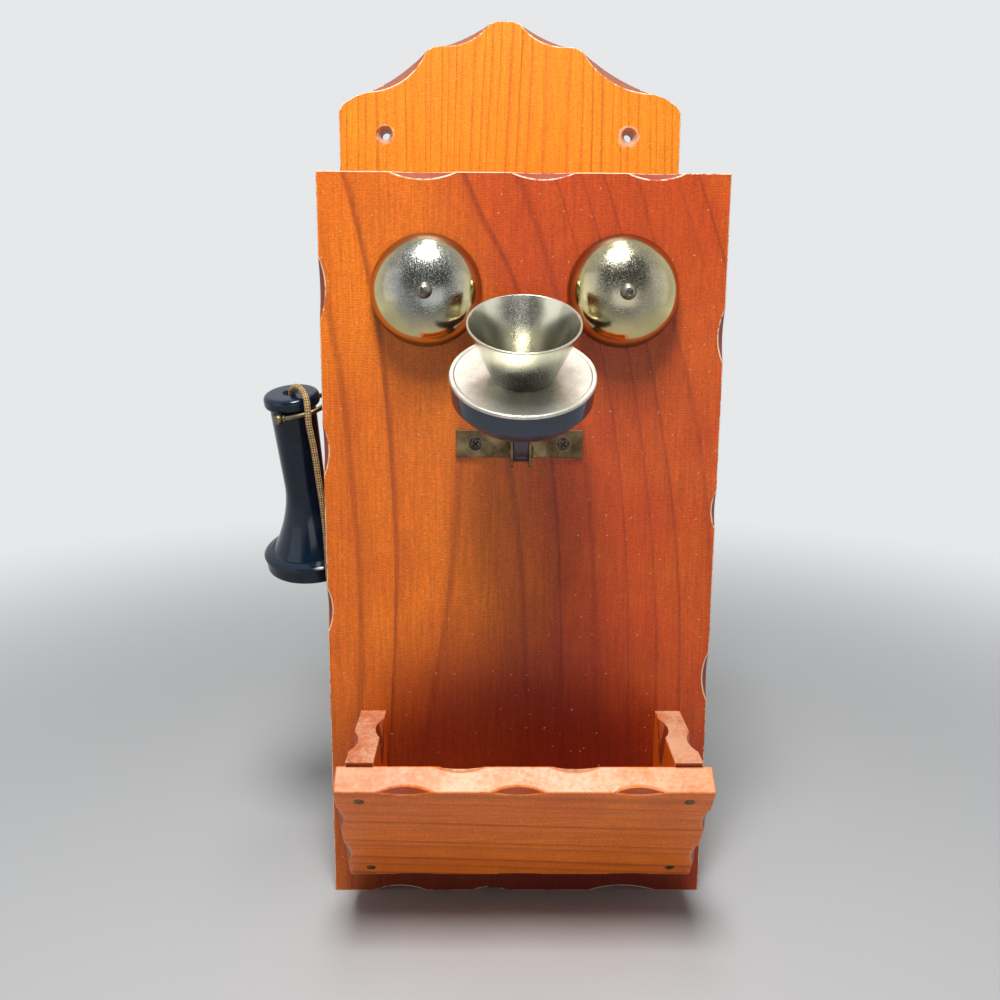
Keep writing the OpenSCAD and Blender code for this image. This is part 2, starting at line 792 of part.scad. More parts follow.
// Tall slot with round ends, cut through a wall of thickness t from the case's left face
module hook_slot(t) {
    translate([left_face - eps, slot_y, 0]) {
        for (z = [slot_low + slot_w / 2, slot_high - slot_w / 2])
            translate([0, 0, z])
                rotate([0, 90, 0]) cylinder(d = slot_w, h = t + 2 * eps, $fn = small_fn);
        translate([0, -slot_w / 2, slot_low + slot_w / 2])
            cube([t + 2 * eps, slot_w, slot_high - slot_low - slot_w]);
    }
}

module at_hook_bracket_screws() {
    for (s = [-1, 1])
        translate([left_face + case_t + hook_plate_t, hook_pivot[1],
                   hook_pivot[2] + s * (hook_plate_h / 2 - hook_screw_in)])
            rotate([0, 90, 0]) children();
}

module hook_bracket() {
    x0 = left_face + case_t;
    reach = hook_pivot_in - case_t;
    color("#8b8d8f")
        difference() {
            union() {
                translate([x0, hook_pivot[1] - hook_plate_w / 2, hook_pivot[2] - hook_plate_h / 2])
                    cube([hook_plate_t, hook_plate_w, hook_plate_h]);
                for (y = [-arm_gap / 2 - hook_plate_t, arm_gap / 2])
                    translate([x0, hook_pivot[1] + y, hook_pivot[2]]) {
                        translate([0, 0, -arm_h / 2]) cube([reach, hook_plate_t, arm_h]);
                        translate([reach, 0, 0])
                            rotate([-90, 0, 0])
                                cylinder(d = arm_h, h = hook_plate_t, $fn = round_fn);
                    }
            }
            translate(hook_pivot)
                rotate([90, 0, 0])
                    cylinder(d = pivot_d + 2 * pilot_clear, h = 2 * hook_plate_w, center = true,
                             $fn = small_fn);
            hook_slot(case_t + hook_plate_t);
            at_hook_bracket_screws()
                flat_screw_hole(hook_screw_d, hook_screw_head_d, hook_screw_len);
        }
}

module hook_bracket_screws() {
    color("#8d8a80")
        at_hook_bracket_screws() flat_screw(hook_screw_d, hook_screw_head_d, hook_screw_len);
}

module hook_pin() {
    span = arm_gap + 2 * hook_plate_t;
    color("#8d8a80")
        translate(hook_pivot)
            rotate([90, 0, 0]) {
                cylinder(d = pivot_d, h = span + 2 * pin_head_t, center = true, $fn = small_fn);
                for (s = [-1, 1])
                    translate([0, 0, s * (span + pin_head_t) / 2])
                        cylinder(d = pin_head_d, h = pin_head_t, center = true, $fn = small_fn);
            }
}

// Closed-coil extension spring: its turns as one ringed tube, with an eye at each end that
// takes the lever's tail and the anchor
module hook_spring() {
    mean_r = (spring_d - spring_wire) / 2;
    color("#9a9c9e")
        translate([spring_x, hook_pivot[1], 0]) {
            translate([0, 0, spring_top - spring_len])
                rotate_extrude($fn = small_fn)
                    translate([mean_r - spring_wire / 2, 0])
                        polygon(concat(
                            [[0, 0]],
                            [for (i = [0:spring_turns - 1], a = [-60, 0, 60])
                                [spring_wire / 2 + spring_wire / 2 * cos(a),
                                 (i + 0.5) * spring_wire + spring_wire / 2 * sin(a)]],
                            [[0, spring_len]]));
            translate([0, 0, hook_pivot[2]]) rotate([90, 0, 0]) spring_eye();
            translate([0, 0, low_eye_z]) rotate([0, 90, 0]) spring_eye();
            spring_bar(spring_top - spring_wire / 2, mean_r, spring_wire);
            spring_bar(spring_top - spring_len + spring_wire / 2, spring_wire, mean_r);
        }
}

module spring_eye() {
    rotate_extrude($fn = small_fn) translate([eye_r, 0]) circle(d = spring_wire, $fn = 16);
}

// End turn bent across the coil to carry an eye
module spring_bar(z, half_x, half_y) {
    translate([0, 0, z]) cube([2 * half_x, 2 * half_y, spring_wire], center = true);
}

// Pin on the case side that holds the spring's lower eye
module spring_anchor() {
    color("#8d8a80")
        translate([left_face + case_t, hook_pivot[1], low_eye_z - anchor_drop])
            rotate([0, 90, 0]) {
                cylinder(d = anchor_d, h = spring_x - left_face - case_t + anchor_past,
                         $fn = small_fn);
                cylinder(d = anchor_base_d, h = anchor_base_t, $fn = small_fn);
            }
}

// ---------------------------------------------------------------- receiver

// Frame of the receiver: z = 0 under the top cap, the barrel along -Z
module at_receiver() {
    translate(neck) rotate([lean_back, 0, 0]) rotate([0, -lean_side, 0]) children();
}

function barrel_r(s) = neck_d / 2 - shell_taper * s
    + flare_gain * pow(max(0, s - flare_start), flare_power);

module receiver_shell() {
    steps = [for (i = [0:shell_steps]) shell_len * i / shell_steps];
    color("#14161a")
        at_receiver()
            difference() {
                union() {
                    rotate_extrude($fn = round_fn)
                        polygon(concat([[0, 0]], [for (s = steps) [barrel_r(s), -s]],
                                       [[0, -shell_len]]));
                    translate([0, 0, -shell_len - ear_plate_t])
                        cylinder(r = spigot_r, h = ear_plate_t + 0.5, $fn = round_fn);
                }
                rotate_extrude($fn = round_fn)
                    polygon(concat([[0, eps], [barrel_r(0) - shell_wall, eps]],
                                   [for (s = steps) [barrel_r(s) - shell_wall, -s]],
                                   [[min(spigot_r - 2, barrel_r(shell_len) - shell_wall),
                                     -shell_len - ear_plate_t - eps],
                                    [0, -shell_len - ear_plate_t - eps]]));
            }
}

module receiver_top_cap() {
    r = top_cap_d / 2;
    edge = 3.4;
    low_edge = 2.6;
    spigot = neck_d / 2 - shell_wall - pilot_clear;
    color("#14161a")
        at_receiver()
            difference() {
                union() {
                    rotate_extrude($fn = round_fn)
                        polygon(concat(
                            [[0, 0]],
                            [for (i = [0:5]) let (a = 90 * i / 5)
                                [r - low_edge + low_edge * sin(a), low_edge * (1 - cos(a))]],
                            [for (i = [0:6]) let (a = 90 * i / 6)
                                [r - edge + edge * cos(a), top_cap_t - edge + edge * sin(a)]],
                            [[0, top_cap_t]]));
                    translate([0, 0, -cap_spigot_len])
                        cylinder(r = spigot - shell_taper * cap_spigot_len,
                                 h = cap_spigot_len + 0.5, $fn = round_fn);
                }
                translate([0, 0, -cap_spigot_len - eps])
                    cylinder(r = cord_hole_r, h = cap_spigot_len + top_cap_t + 2 * eps,
                             $fn = small_fn);
                translate([0, 0, top_cap_t - (cord_mouth_r - cord_hole_r)])
                    cylinder(r1 = cord_hole_r, r2 = cord_mouth_r + 0.2,
                             h = cord_mouth_r - cord_hole_r + 0.2, $fn = small_fn);
            }
}

module ear_cap() {
    r = ear_cap_d / 2;
    top = -shell_len;
    skirt_r = r - 1;
    color("#14161a")
        at_receiver()
            rotate_extrude($fn = round_fn)
                polygon([[spigot_r + pilot_clear, top], [barrel_r(shell_len) + 1.5, top],
                         [r - 1.6, top - 1.2], [r, top - 2.6], [r, top - 3.6],
                         [skirt_r, top - 4.6], [skirt_r, top - ear_cap_t + 1],
                         [skirt_r - 1, top - ear_cap_t], [skirt_r - 4, top - ear_cap_t],
                         [ear_hole_r + 4, top - ear_cap_t + ear_dish],
                         [ear_hole_r, top - ear_cap_t + ear_dish],
                         [ear_hole_r, top - ear_cap_t + ear_bottom_t],
                         [skirt_r - ear_wall, top - ear_cap_t + ear_bottom_t],
                         [skirt_r - ear_wall, top - ear_plate_t],
                         [spigot_r + pilot_clear, top - ear_plate_t]]);
}

module receiver_capsule() {
    r = ear_cap_d / 2 - 1 - ear_wall - pilot_clear;
    color("#77797a")
        at_receiver()
            translate([0, 0, -shell_len - ear_cap_t + ear_bottom_t])
                cylinder(r = r, h = ear_cap_t - ear_bottom_t - ear_plate_t, $fn = round_fn);
}

// Horseshoe magnet that stands on the capsule inside the barrel
module receiver_magnet() {
    leg_w = 5;
    leg_d = 9;
    span = 15;
    foot = -shell_len - ear_plate_t;
    tall = shell_len - 30;
    color("#4a3b32")
        at_receiver()
            difference() {
                translate([-span / 2, -leg_d / 2, foot]) cube([span, leg_d, tall]);
                translate([-span / 2 + leg_w, -leg_d / 2 - eps, foot - eps])
                    cube([span - 2 * leg_w, leg_d + 2 * eps, tall - leg_w + eps]);
            }
}

// ---------------------------------------------------------------- cord

module grommet_hole() {
    translate([left_face - eps, grommet_y, grommet_z])
        rotate([0, 90, 0])
            cylinder(d = grommet_body_d + 2 * pilot_clear, h = case_t + 2 * eps, $fn = small_fn);
}

module cord_grommet() {
    color("#2a211b")
        translate([left_face, grommet_y, grommet_z])
            rotate([0, 90, 0])
                difference() {
                    union() {
                        translate([0, 0, -grommet_flange_t])
                            cylinder(d = grommet_flange_d, h = grommet_flange_t, $fn = small_fn);
                        cylinder(d = grommet_body_d, h = case_t, $fn = small_fn);
                    }
                    translate([0, 0, -grommet_flange_t - eps])
                        cylinder(d = grommet_bore_d, h = case_t + grommet_flange_t + 2 * eps,
                                 $fn = small_fn);
                }
}

// Catmull-Rom curve through a list of points
function route_point(p, i, t) =
    let (a = p[max(i - 1, 0)], b = p[i], c = p[i + 1], d = p[min(i + 2, len(p) - 1)])
    0.5 * (2 * b + (c - a) * t + (2 * a - 5 * b + 4 * c - d) * t * t
           + (3 * b - a - 3 * c + d) * t * t * t);
function route(p, steps) =
    concat([for (i = [0:len(p) - 2], k = [0:steps - 1]) route_point(p, i, k / steps)],
           [p[len(p) - 1]]);
function unit(v) = v / norm(v);
function tangent(r, i) = unit(r[min(i + 1, len(r) - 1)] - r[max(i - 1, 0)]);

// Tube of n sides swept along the points r; every ring is turned from one shared direction,
// so that neighbouring rings do not twist
module swept_tube(r, d, n) {
    rings = [for (i = [0:len(r) - 1])
        let (t = tangent(r, i),
             u = unit(cross(t, ring_guide)),
             v = cross(t, u))
        for (k = [0:n - 1]) let (a = 360 * k / n) r[i] + d / 2 * (cos(a) * u + sin(a) * v)];
    last = (len(r) - 1) * n;
    polyhedron(
        points = rings,
        faces = concat(
            [[for (k = [0:n - 1]) k]],
            [[for (k = [n - 1:-1:0]) last + k]],
            [for (i = [0:len(r) - 2], k = [0:n - 1])
                [i * n + k, (i + 1) * n + k, (i + 1) * n + (k + 1) % n, i * n + (k + 1) % n]]));
}

module receiver_cord() {
    color("#9a7440") swept_tube(route(cord_points, cord_steps), cord_d, cord_sides);
}

// ---------------------------------------------------------------- letter pocket

// Frame of the pocket front: z = 0 at its foot, y = 0 on its front face, +Y into it
module at_pocket() {
    translate([pocket_x, pocket_foot_y, pocket_foot_z])
        rotate([pocket_lean, 0, 0])
            translate([0, -pocket_t, 0]) children();
}

module at_nails() {
    for (s = [-1, 1], z = [nail_in_z, pocket_h - nail_in_z])
        translate([s * (pocket_w / 2 - nail_in_x), 0, z]) rotate([90, 0, 0]) children();
}

module nail_hole() {
    translate([0, 0, -nail_head_t])
        cylinder(d = nail_head_d + 2 * pilot_clear, h = nail_head_t + eps, $fn = small_fn);
    translate([0, 0, -nail_len - pilot_clear])
        cylinder(d = nail_d + 2 * pilot_clear, h = nail_len, $fn = small_fn);
}

module pocket_front() {
    w = pocket_w / 2;
    color("#c9621f")
        at_pocket()
            difference() {
                union() {
                    translate([-w, 0, pocket_corner_r])
                        cube([pocket_w, pocket_t, pocket_h - pocket_corner_r]);
                    translate([pocket_corner_r - w, 0, 0])
                        cube([pocket_w - 2 * pocket_corner_r, pocket_t, pocket_corner_r]);
                    for (x = [pocket_corner_r - w, w - pocket_corner_r])
                        translate([x, 0, pocket_corner_r])
                            rotate([-90, 0, 0])
                                cylinder(r = pocket_corner_r, h = pocket_t, $fn = small_fn);
                }
                gouge_row([-w, pocket_h], [w, pocket_h], pocket_gouge_top, pocket_t);
                gouge_row([w, pocket_h], [w, 0], pocket_gouge_side, pocket_t);
                gouge_row([w, 0], [-w, 0], pocket_gouge_bottom, pocket_t);
                gouge_row([-w, 0], [-w, pocket_h], pocket_gouge_side, pocket_t);
                translate([0, pocket_t, 0])
                    mirror([0, 1, 0])
                        gouge_row([-w, pocket_h], [w, pocket_h], pocket_gouge_back, pocket_t);
                at_nails() nail_hole();
            }
}

module pocket_nails() {
    color("#8a7a58")
        at_pocket() at_nails() {
            translate([0, 0, -nail_head_t])
                cylinder(d = nail_head_d, h = nail_head_t, $fn = small_fn);
            translate([0, 0, -nail_len]) cylinder(d = nail_d, h = nail_len, $fn = small_fn);
        }
}

// Wedge-shaped bracket; the outline is its side view, measured from the panel's face
module pocket_bracket(s) {
    rise = pocket_side_top - pocket_foot_z;
    reach = pocket_gap + rise * tan(pocket_lean);
    x0 = pocket_x + s * bracket_out_x - (s > 0 ? pocket_side_t : 0);
    color("#c0561d")
        difference() {
            translate([x0, panel_front, pocket_foot_z])
                rotate([90, 0, 90])
                    linear_extrude(pocket_side_t)
                        polygon([[0, 0], [0, rise], [-reach, rise], [-pocket_gap, 0]]);
            // hollows in the two upper edges, deepest at the top and run out below
            translate([x0 + (s > 0 ? 0 : pocket_side_t), panel_front - reach * side_gouge_out,
                       pocket_side_top])
                rotate([-90, 0, 0]) rotate([0, s > 0 ? -90 : 90, 0])
                    gouge([-side_gouge_len / 2, 0], [side_gouge_len / 2, 0], side_gouge_depth,
                          atan(side_gouge_depth / side_gouge_drop), side_gouge_drop);
            translate([x0 + (s > 0 ? pocket_side_t : 0), panel_front - reach * side_gouge_in,
                       pocket_side_top])
                rotate([-90, 0, 0]) rotate([0, s > 0 ? 90 : -90, 0])
                    gouge([-side_gouge_len / 2, 0], [side_gouge_len / 2, 0], side_gouge_depth,
                          atan(side_gouge_depth / side_gouge_drop), side_gouge_drop);
            at_pocket() at_nails() nail_hole();
        }
}

module pocket_left_bracket() { pocket_bracket(-1); }
module pocket_right_bracket() { pocket_bracket(1); }

// Narrow slat that closes the gap at the pocket's foot
module pocket_floor() {
    slat_w = 2 * (bracket_out_x - pocket_side_t);
    color("#c0561d")
        translate([pocket_x - slat_w / 2, panel_front, pocket_foot_z])
            rotate([90, 0, 90])
                linear_extrude(slat_w)
                    polygon([[0, 0], [0, floor_t],
                             [-pocket_gap - floor_t * tan(pocket_lean), floor_t],
                             [-pocket_gap, 0]]);
}

back_board();
case_left_side();
case_right_side();
case_top();
case_bottom();
front_panel();
back_screws();
left_gong();
right_gong();
left_gong_post();
right_gong_post();
left_gong_screw();
right_gong_screw();
transmitter_bracket();
bracket_screws();
transmitter_pin();
transmitter_cup();
transmitter_capsule();
transmitter_face();
mouthpiece();
hook_bracket();
hook_bracket_screws();
hook_pin();
hook_fork();
hook_lever();
hook_spring();
spring_anchor();
receiver_shell();
receiver_top_cap();
ear_cap();
receiver_capsule();
receiver_magnet();
receiver_cord();
cord_grommet();
pocket_front();
pocket_left_bracket();
pocket_right_bracket();
pocket_floor();
pocket_nails();
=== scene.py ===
"""Pine wall telephone: two gongs, a tilting transmitter, a receiver on a side hook and a
letter pocket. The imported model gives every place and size; the script adds the looks."""

import math
from functools import partial

import bmesh
import bpy
from bpy.props import FloatProperty, FloatVectorProperty, IntProperty, PointerProperty
from bpy.types import Operator, Panel, PropertyGroup
from mathutils import Matrix, Vector
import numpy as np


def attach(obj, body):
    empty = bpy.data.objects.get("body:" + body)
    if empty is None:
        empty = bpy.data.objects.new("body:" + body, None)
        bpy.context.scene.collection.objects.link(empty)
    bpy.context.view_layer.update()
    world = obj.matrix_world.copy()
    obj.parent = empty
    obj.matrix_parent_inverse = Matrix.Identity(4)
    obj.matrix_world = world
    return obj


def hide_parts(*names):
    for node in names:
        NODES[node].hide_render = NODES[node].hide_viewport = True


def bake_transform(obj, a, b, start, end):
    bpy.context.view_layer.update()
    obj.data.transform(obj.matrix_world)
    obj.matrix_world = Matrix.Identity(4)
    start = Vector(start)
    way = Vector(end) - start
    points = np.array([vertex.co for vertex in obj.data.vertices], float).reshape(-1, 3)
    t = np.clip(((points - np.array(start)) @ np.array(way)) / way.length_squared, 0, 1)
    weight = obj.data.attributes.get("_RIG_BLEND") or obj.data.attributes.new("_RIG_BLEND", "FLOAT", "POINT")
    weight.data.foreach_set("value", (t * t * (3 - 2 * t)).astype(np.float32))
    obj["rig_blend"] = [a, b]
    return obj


bl_info = {
    "name": "Pine Wall Telephone",
    "version": (1, 0, 0),
    "blender": (4, 5, 0),
    "location": "View3D > Sidebar > Telephone",
    "description": "Builds a pine wall telephone with gongs, transmitter, receiver and pocket",
    "category": "Add Mesh",
}

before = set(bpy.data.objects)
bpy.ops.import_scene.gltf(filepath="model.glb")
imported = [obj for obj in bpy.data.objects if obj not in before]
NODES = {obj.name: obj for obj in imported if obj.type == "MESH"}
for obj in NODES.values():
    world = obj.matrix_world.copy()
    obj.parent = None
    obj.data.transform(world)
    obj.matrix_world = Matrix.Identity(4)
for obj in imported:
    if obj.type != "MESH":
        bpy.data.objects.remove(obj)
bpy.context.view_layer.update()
MM = 0.001


def mm(*values):
    """Millimetres as a vector in metres."""
    return Vector([v * MM for v in values])


def linear(code):
    """An sRGB hex colour as linear red, green, blue and alpha."""
    parts = [int(code[i : i + 2], 16) / 255 for i in (1, 3, 5)]
    return (*[c / 12.92 if c <= 0.04045 else ((c + 0.055) / 1.055) ** 2.4 for c in parts], 1.0)


def placed(origin, *turns):
    """A matrix that turns about the named axes in order, then moves to origin (mm)."""
    matrix = Matrix.Translation(mm(*origin))
    for degrees, axis in turns:
        matrix = matrix @ Matrix.Rotation(math.radians(degrees), 4, axis)
    return matrix


# ---------------------------------------------------------------- measures in millimetres

PANEL_FRONT = -51.5
GONG_X = (0.9 - 52.7, 0.9 + 52.7)
GONG_Z = 357.0
GONG_R, GONG_H, GONG_GAP, GONG_WALL, GONG_HOLE = 30.1, 23.7, 2.0, 1.3, 2.05
PIVOT = (-1.2, -80.0, 274.0)
BRACKET_SCREW, BRACKET_SEAT = 24.25, -53
BACK_SCREW_X, BACK_SCREW_Z, BACK_Y = 82, (30, 204.25, 378.5), 51.5
HOOK_SCREW_X, HOOK_SCREW_Y, HOOK_SCREW_Z = -74.5, -19.115, (302.73 - 13, 302.73 + 13)
TILT = 28.7
FACE_REACH, FACE_T, FACE_R = 48.3, 1.6, 37.0
CUP_R, CUP_DEPTH, CUP_DOME, CUP_WALL, CUP_CROWN_R = 36.2, 13.0, 11.0, 3, 8
KNUCKLE_R, KNUCKLE_HALF, PIN_BORE_R = 5.5, 3.9, 2.05
CUP_BACK = FACE_REACH - FACE_T - CUP_DEPTH
HORN_LEN, HORN_RIM_R, HORN_BASE_R, HORN_WALL, HORN_FLOOR = 29.4, 28.2, 16.3, 1.2, 1.4
NECK = (-132.8, -16.1, 291.4)
LEAN_BACK, LEAN_SIDE = 14.9, 3.8
SHELL_LEN, SHELL_WALL, FOOT_R, TOP_CAP_T, TOP_CAP_R = 92.5, 2.2, 24, 7.5, 16.2
BARREL_R, BARREL_TAPER, FLARE_LEN, FLARE_RISE, FLARE_BEND = 13.4, 0.024, 42, 0.0164, 1.8
EAR_CAP_T, EAR_CAP_R, EAR_PLATE_T, EAR_HOLE_R, EAR_SEAT_R = 12.0, 31.3, 4.0, 4.5, 24.05
FORK_SLOPE, FORK_DROP, FORK_HALF, FORK_CENTRE, FORK_END = 11.0, 2.0, 16.6, 4.0, -6
WIRE_R, BALL_R, SHANK_R, SHANK_END = 1.4, 3.0, 2.0, 67.1
POCKET_FOOT, POCKET_T, POCKET_LEAN = (1.2, -60.5, 32.541), 15.3, 35.3
NAIL_X, NAIL_Z = 86, (9.8, 89.5)
WALL_HOLES = (74.0, -7.75, 449.5)
GROMMET = (-88.0, 16.5, 151.5)
RIPPLE_PITCH, CHIP_R = 1.4, 0.26
SCREW_CLEAR, PIN_CLEAR = 4.5, 2.6
CAMERA = (-17.77, -615.99, 355.54)
CAMERA_YAW, CAMERA_PITCH, CAMERA_ROLL = 0.618, 11.369, -0.356

CORD_POINTS = [
    (-133, -16.5, 293), (-133, -18, 297.5), (-131.5, -21, 301), (-128, -25.5, 302.5),
    (-124, -30.5, 300.5), (-121.5, -34.5, 296), (-120.5, -36.5, 289.5), (-120, -36.5, 281),
    (-118, -35, 268), (-116, -33.5, 250), (-114, -31.5, 230), (-113, -29.5, 210),
    (-112.5, -28, 190), (-111, -26, 170), (-107, -22, 145), (-103, -18, 120),
    (-100.5, -13, 95), (-100, -5, 76), (-100, 5, 70), (-100, 14, 78),
    (-100, 18, 96), (-100.5, 18, 118), (-100, 17, 137), (-96.5, 16.5, 148.5),
    (-91.5, 16.5, 151.5), (-90, 16.5, 151.5),
]

AT_TRANSMITTER = placed(PIVOT, (TILT, "X"))
AT_RECEIVER = placed(NECK, (LEAN_BACK, "X"), (-LEAN_SIDE, "Y"))
AT_FORK = placed(NECK, (LEAN_BACK, "X"), (-FORK_SLOPE, "Y")) @ placed((0, 0, -FORK_DROP))
SIDEWAYS = placed((0, 0, 0), (90, "Y"))
WALLWARD = Vector((0, 1, 0))


# ---------------------------------------------------------------- mesh helpers


def new_object(name, data):
    """Links data to the scene as an object at the origin."""
    piece = bpy.data.objects.new(name, data)
    bpy.context.scene.collection.objects.link(piece)
    return piece


def from_bmesh(name, bm):
    """Turns a bmesh into an object whose faces are all smooth."""
    mesh = bpy.data.meshes.new(name)
    bm.to_mesh(mesh)
    bm.free()
    mesh.shade_smooth()
    return new_object(name, mesh)


def discard(piece):
    """Deletes an object and its mesh."""
    data = piece.data
    bpy.data.objects.remove(piece)
    if isinstance(data, bpy.types.Mesh):
        bpy.data.meshes.remove(data)


def settled(piece):
    """Turns a piece and its modifiers into a plain mesh with the same name."""
    view = bpy.context.evaluated_depsgraph_get()
    mesh = bpy.data.meshes.new_from_object(
        piece.evaluated_get(view), preserve_all_data_layers=True, depsgraph=view
    )
    name = piece.name
    discard(piece)
    return new_object(name, mesh)


def spread(first, last, count):
    """Evenly spread numbers from first to last, both of them included."""
    return [first + (last - first) * i / count for i in range(count + 1)]


def circle(sides):
    """The cosine and sine of each step of a full turn."""
    return [(math.cos(a), math.sin(a)) for a in spread(0, 2 * math.pi, sides)[:-1]]


def filleted(points, steps=6):
    """Rounds a line's corners; a point is (r, z) or (r, z, radius of its fillet)."""
    line = []
    for i, point in enumerate(points):
        here = Vector(point[:2])
        radius = point[2] if len(point) > 2 else 0
        if not radius or i in (0, len(points) - 1):
            line.append(here)
            continue
        before, after = Vector(points[i - 1][:2]) - here, Vector(points[i + 1][:2]) - here
        half = before.angle(after) / 2
        reach = min(radius / max(math.tan(half), 1e-3), before.length * 0.48, after.length * 0.48)
        start, end = here + before.normalized() * reach, here + after.normalized() * reach
        for t in spread(0, 1, steps):
            line.append(start * (1 - t) ** 2 + here * 2 * t * (1 - t) + end * t * t)
    return line


def skinned(name, rings, closed=False, capped=False, matrix=None):
    """A skin over rings of points, where a ring of one point is a pole."""
    bm = bmesh.new()
    rings = [[bm.verts.new(point) for point in ring] for ring in rings]
    sides = max(len(ring) for ring in rings)
    for low, high in zip(rings, rings[1:] + rings[:closed]):
        for k in range(sides):
            n = (k + 1) % sides
            turn = ((low, k), (low, n), (high, n), (high, k))
            corners = list(dict.fromkeys(ring[i % len(ring)] for ring, i in turn))
            if len(corners) > 2:
                bm.faces.new(corners)
    if capped:
        bm.faces.new(rings[0])
        bm.faces.new(rings[-1])
    bmesh.ops.recalc_face_normals(bm, faces=bm.faces)
    if matrix:
        bm.transform(matrix)
    return from_bmesh(name, bm)


def turned(name, outline, matrix=None, sides=128, closed=False):
    """A turned shape: the outline (r, z in mm) spun about Z. A closed outline is a ring."""
    rings = [
        [mm(r * c, r * s, z) for c, s in (circle(sides) if r else [(0, 0)])] for r, z in outline
    ]
    return skinned(name, rings, closed, matrix=matrix)


def tube(name, line, radius, sides=32):
    """A round bar along a line of points, closed at both ends."""
    rings, up = [], Vector((0, 0, 1))
    for i, place in enumerate(line):
        ahead = (line[min(i + 1, len(line) - 1)] - line[max(i - 1, 0)]).normalized()
        side = ahead.cross(up).normalized()
        up = side.cross(ahead)
        rings.append([place + radius * MM * (c * side + s * up) for c, s in circle(sides)])
    return skinned(name, rings, capped=True)


def block(name, size, centre, matrix=None, ease=0.0):
    """A box with eased edges; size and centre in mm."""
    bm = bmesh.new()
    bmesh.ops.create_cube(bm, size=1)
    bm.transform(placed(centre) @ Matrix.Diagonal((*mm(*size), 1)))
    bmesh.ops.bevel(
        bm, geom=bm.edges, offset=ease * MM, segments=3, profile=0.5, affect="EDGES"
    )
    if matrix:
        bm.transform(matrix)
    return from_bmesh(name, bm)


def combined(piece, others, operation):
    """Cuts the others from a piece, or joins them to it, and deletes them."""
    for other in others:
        modifier = piece.modifiers.new("combine", "BOOLEAN")
        modifier.operation, modifier.solver, modifier.object = operation, "EXACT", other
        piece = settled(piece)
        discard(other)
    return piece


def creased(piece, degrees=38):
    """Smooth faces with a crease at each sharper edge."""
    piece.data.shade_smooth()
    piece.data.set_sharp_from_angle(angle=math.radians(degrees))
    return piece


def eased_copy(node, ease, shortest=1.7, allowed=None, front=None, painted_sheen_on_tops=False):
    """A copy of a CAD node with its doubles merged and its sharp edges eased. Edges shorter than shortest
    (mm), such as those round screw holes, stay, and so do those that allowed, given an edge's middle,
    refuses. Its faces are marked: eased on the new strips, carved where they slant from the board's front,
    and, where they face up, for a painted highlight from the light above."""
    bm = bmesh.new()
    bm.from_mesh(NODES[node].data)
    bmesh.ops.remove_doubles(bm, verts=bm.verts, dist=0.05 * MM)
    bmesh.ops.dissolve_limit(
        bm, angle_limit=math.radians(0.5), verts=bm.verts, edges=bm.edges, delimit={"NORMAL"}
    )
    carved, handled, eased = map(bm.faces.layers.float.new, ("carved", "handled", "eased"))
    for face in bm.faces:
        face[carved] = float(bool(front) and 0.06 < abs(face.normal.dot(front)) < 0.94)
        # faces that look up are marked for a painted highlight from the light above
        face[handled] = float(painted_sheen_on_tops and face.normal.z > 0.6)
    sharp = [
        e
        for e in bm.edges
        if len(e.link_faces) == 2
        and e.calc_face_angle(0) > math.radians(32)
        and e.calc_length() > shortest * MM
        and (allowed is None or allowed((e.verts[0].co + e.verts[1].co) / 2))
    ]
    made = bmesh.ops.bevel(
        bm, geom=sharp, offset=ease, segments=3, profile=0.5, affect="EDGES",
        clamp_overlap=False,
    )
    for face in made["faces"]:
        face[eased], face[carved], face[handled] = 1.0, 0.0, 0.0
    piece = creased(from_bmesh(node + "_eased", bm), 60)
    piece.modifiers.new("normals", "WEIGHTED_NORMAL").keep_sharp = True
    return settled(piece)


def dressed(piece, material, slot, body, *replaced, crease=None):
    """Creases a finished piece and gives it its material and its body, if it rides on just one, and hides
    the nodes it stands for. slot is not used."""
    if crease:
        creased(piece, crease)
    piece.data.materials.clear()
    piece.data.materials.append(material)
    if body:
        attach(piece, body)
    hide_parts(*replaced)
    return piece


def fastener(name, head, shank, wide, long):
    """A round-headed or flat screw with a cross recess, or a nail, along -Z from its seat."""
    top = 4.2 if head == "round" else 0
    if head == "round":
        ball = (wide * wide / 4 + top * top) / (2 * top)
        arc = spread(math.asin(min(1, wide / 2 / ball)), 0, 20)
        cap = [(ball * math.sin(a), top - ball + ball * math.cos(a)) for a in arc]
        cap[-1] = (0, top)
        under, arm, slot, deep = 0, 4.0, 1.9, top * 0.6
    elif head == "flat":
        cap = filleted([(wide / 2, 0), (wide / 2 - 0.2, 0, 0.1), (0, 0)])
        under, arm, slot, deep = -(wide - shank) / 2, wide * 0.64, 1.3, (wide - shank) * 0.4
    else:
        rim, under = wide / 2, -1
        cap = [(rim, -1), (rim, -0.25), (rim - 0.25, 0), (rim / 2, 0.12), (0, 0.15)]
    line = [(0, -long), (shank / 2, -long + shank), (shank / 2, under), *cap]
    piece = turned(name, line, sides=48)
    if head == "nail":
        return piece
    bars = [
        block("bar", size, (0, 0, top - deep / 2 + 0.5), ease=0.12)
        for size in ((arm, slot, deep + 1), (slot, arm, deep + 1))
    ]
    return combined(piece, bars, "DIFFERENCE")


def route(points, steps):
    """A smooth line through the points, as the cord's CAD solid follows it."""
    line = []
    for i in range(len(points) - 1):
        a, b = points[max(i - 1, 0)], points[i]
        c, d = points[i + 1], points[min(i + 2, len(points) - 1)]
        square, cube = 2 * a - 5 * b + 4 * c - d, 3 * b - a - 3 * c + d
        for t in spread(0, 1, steps)[:-1]:
            line.append(0.5 * (2 * b + (c - a) * t + square * t**2 + cube * t**3))
    return line + [points[-1]]


# ---------------------------------------------------------------- node helpers

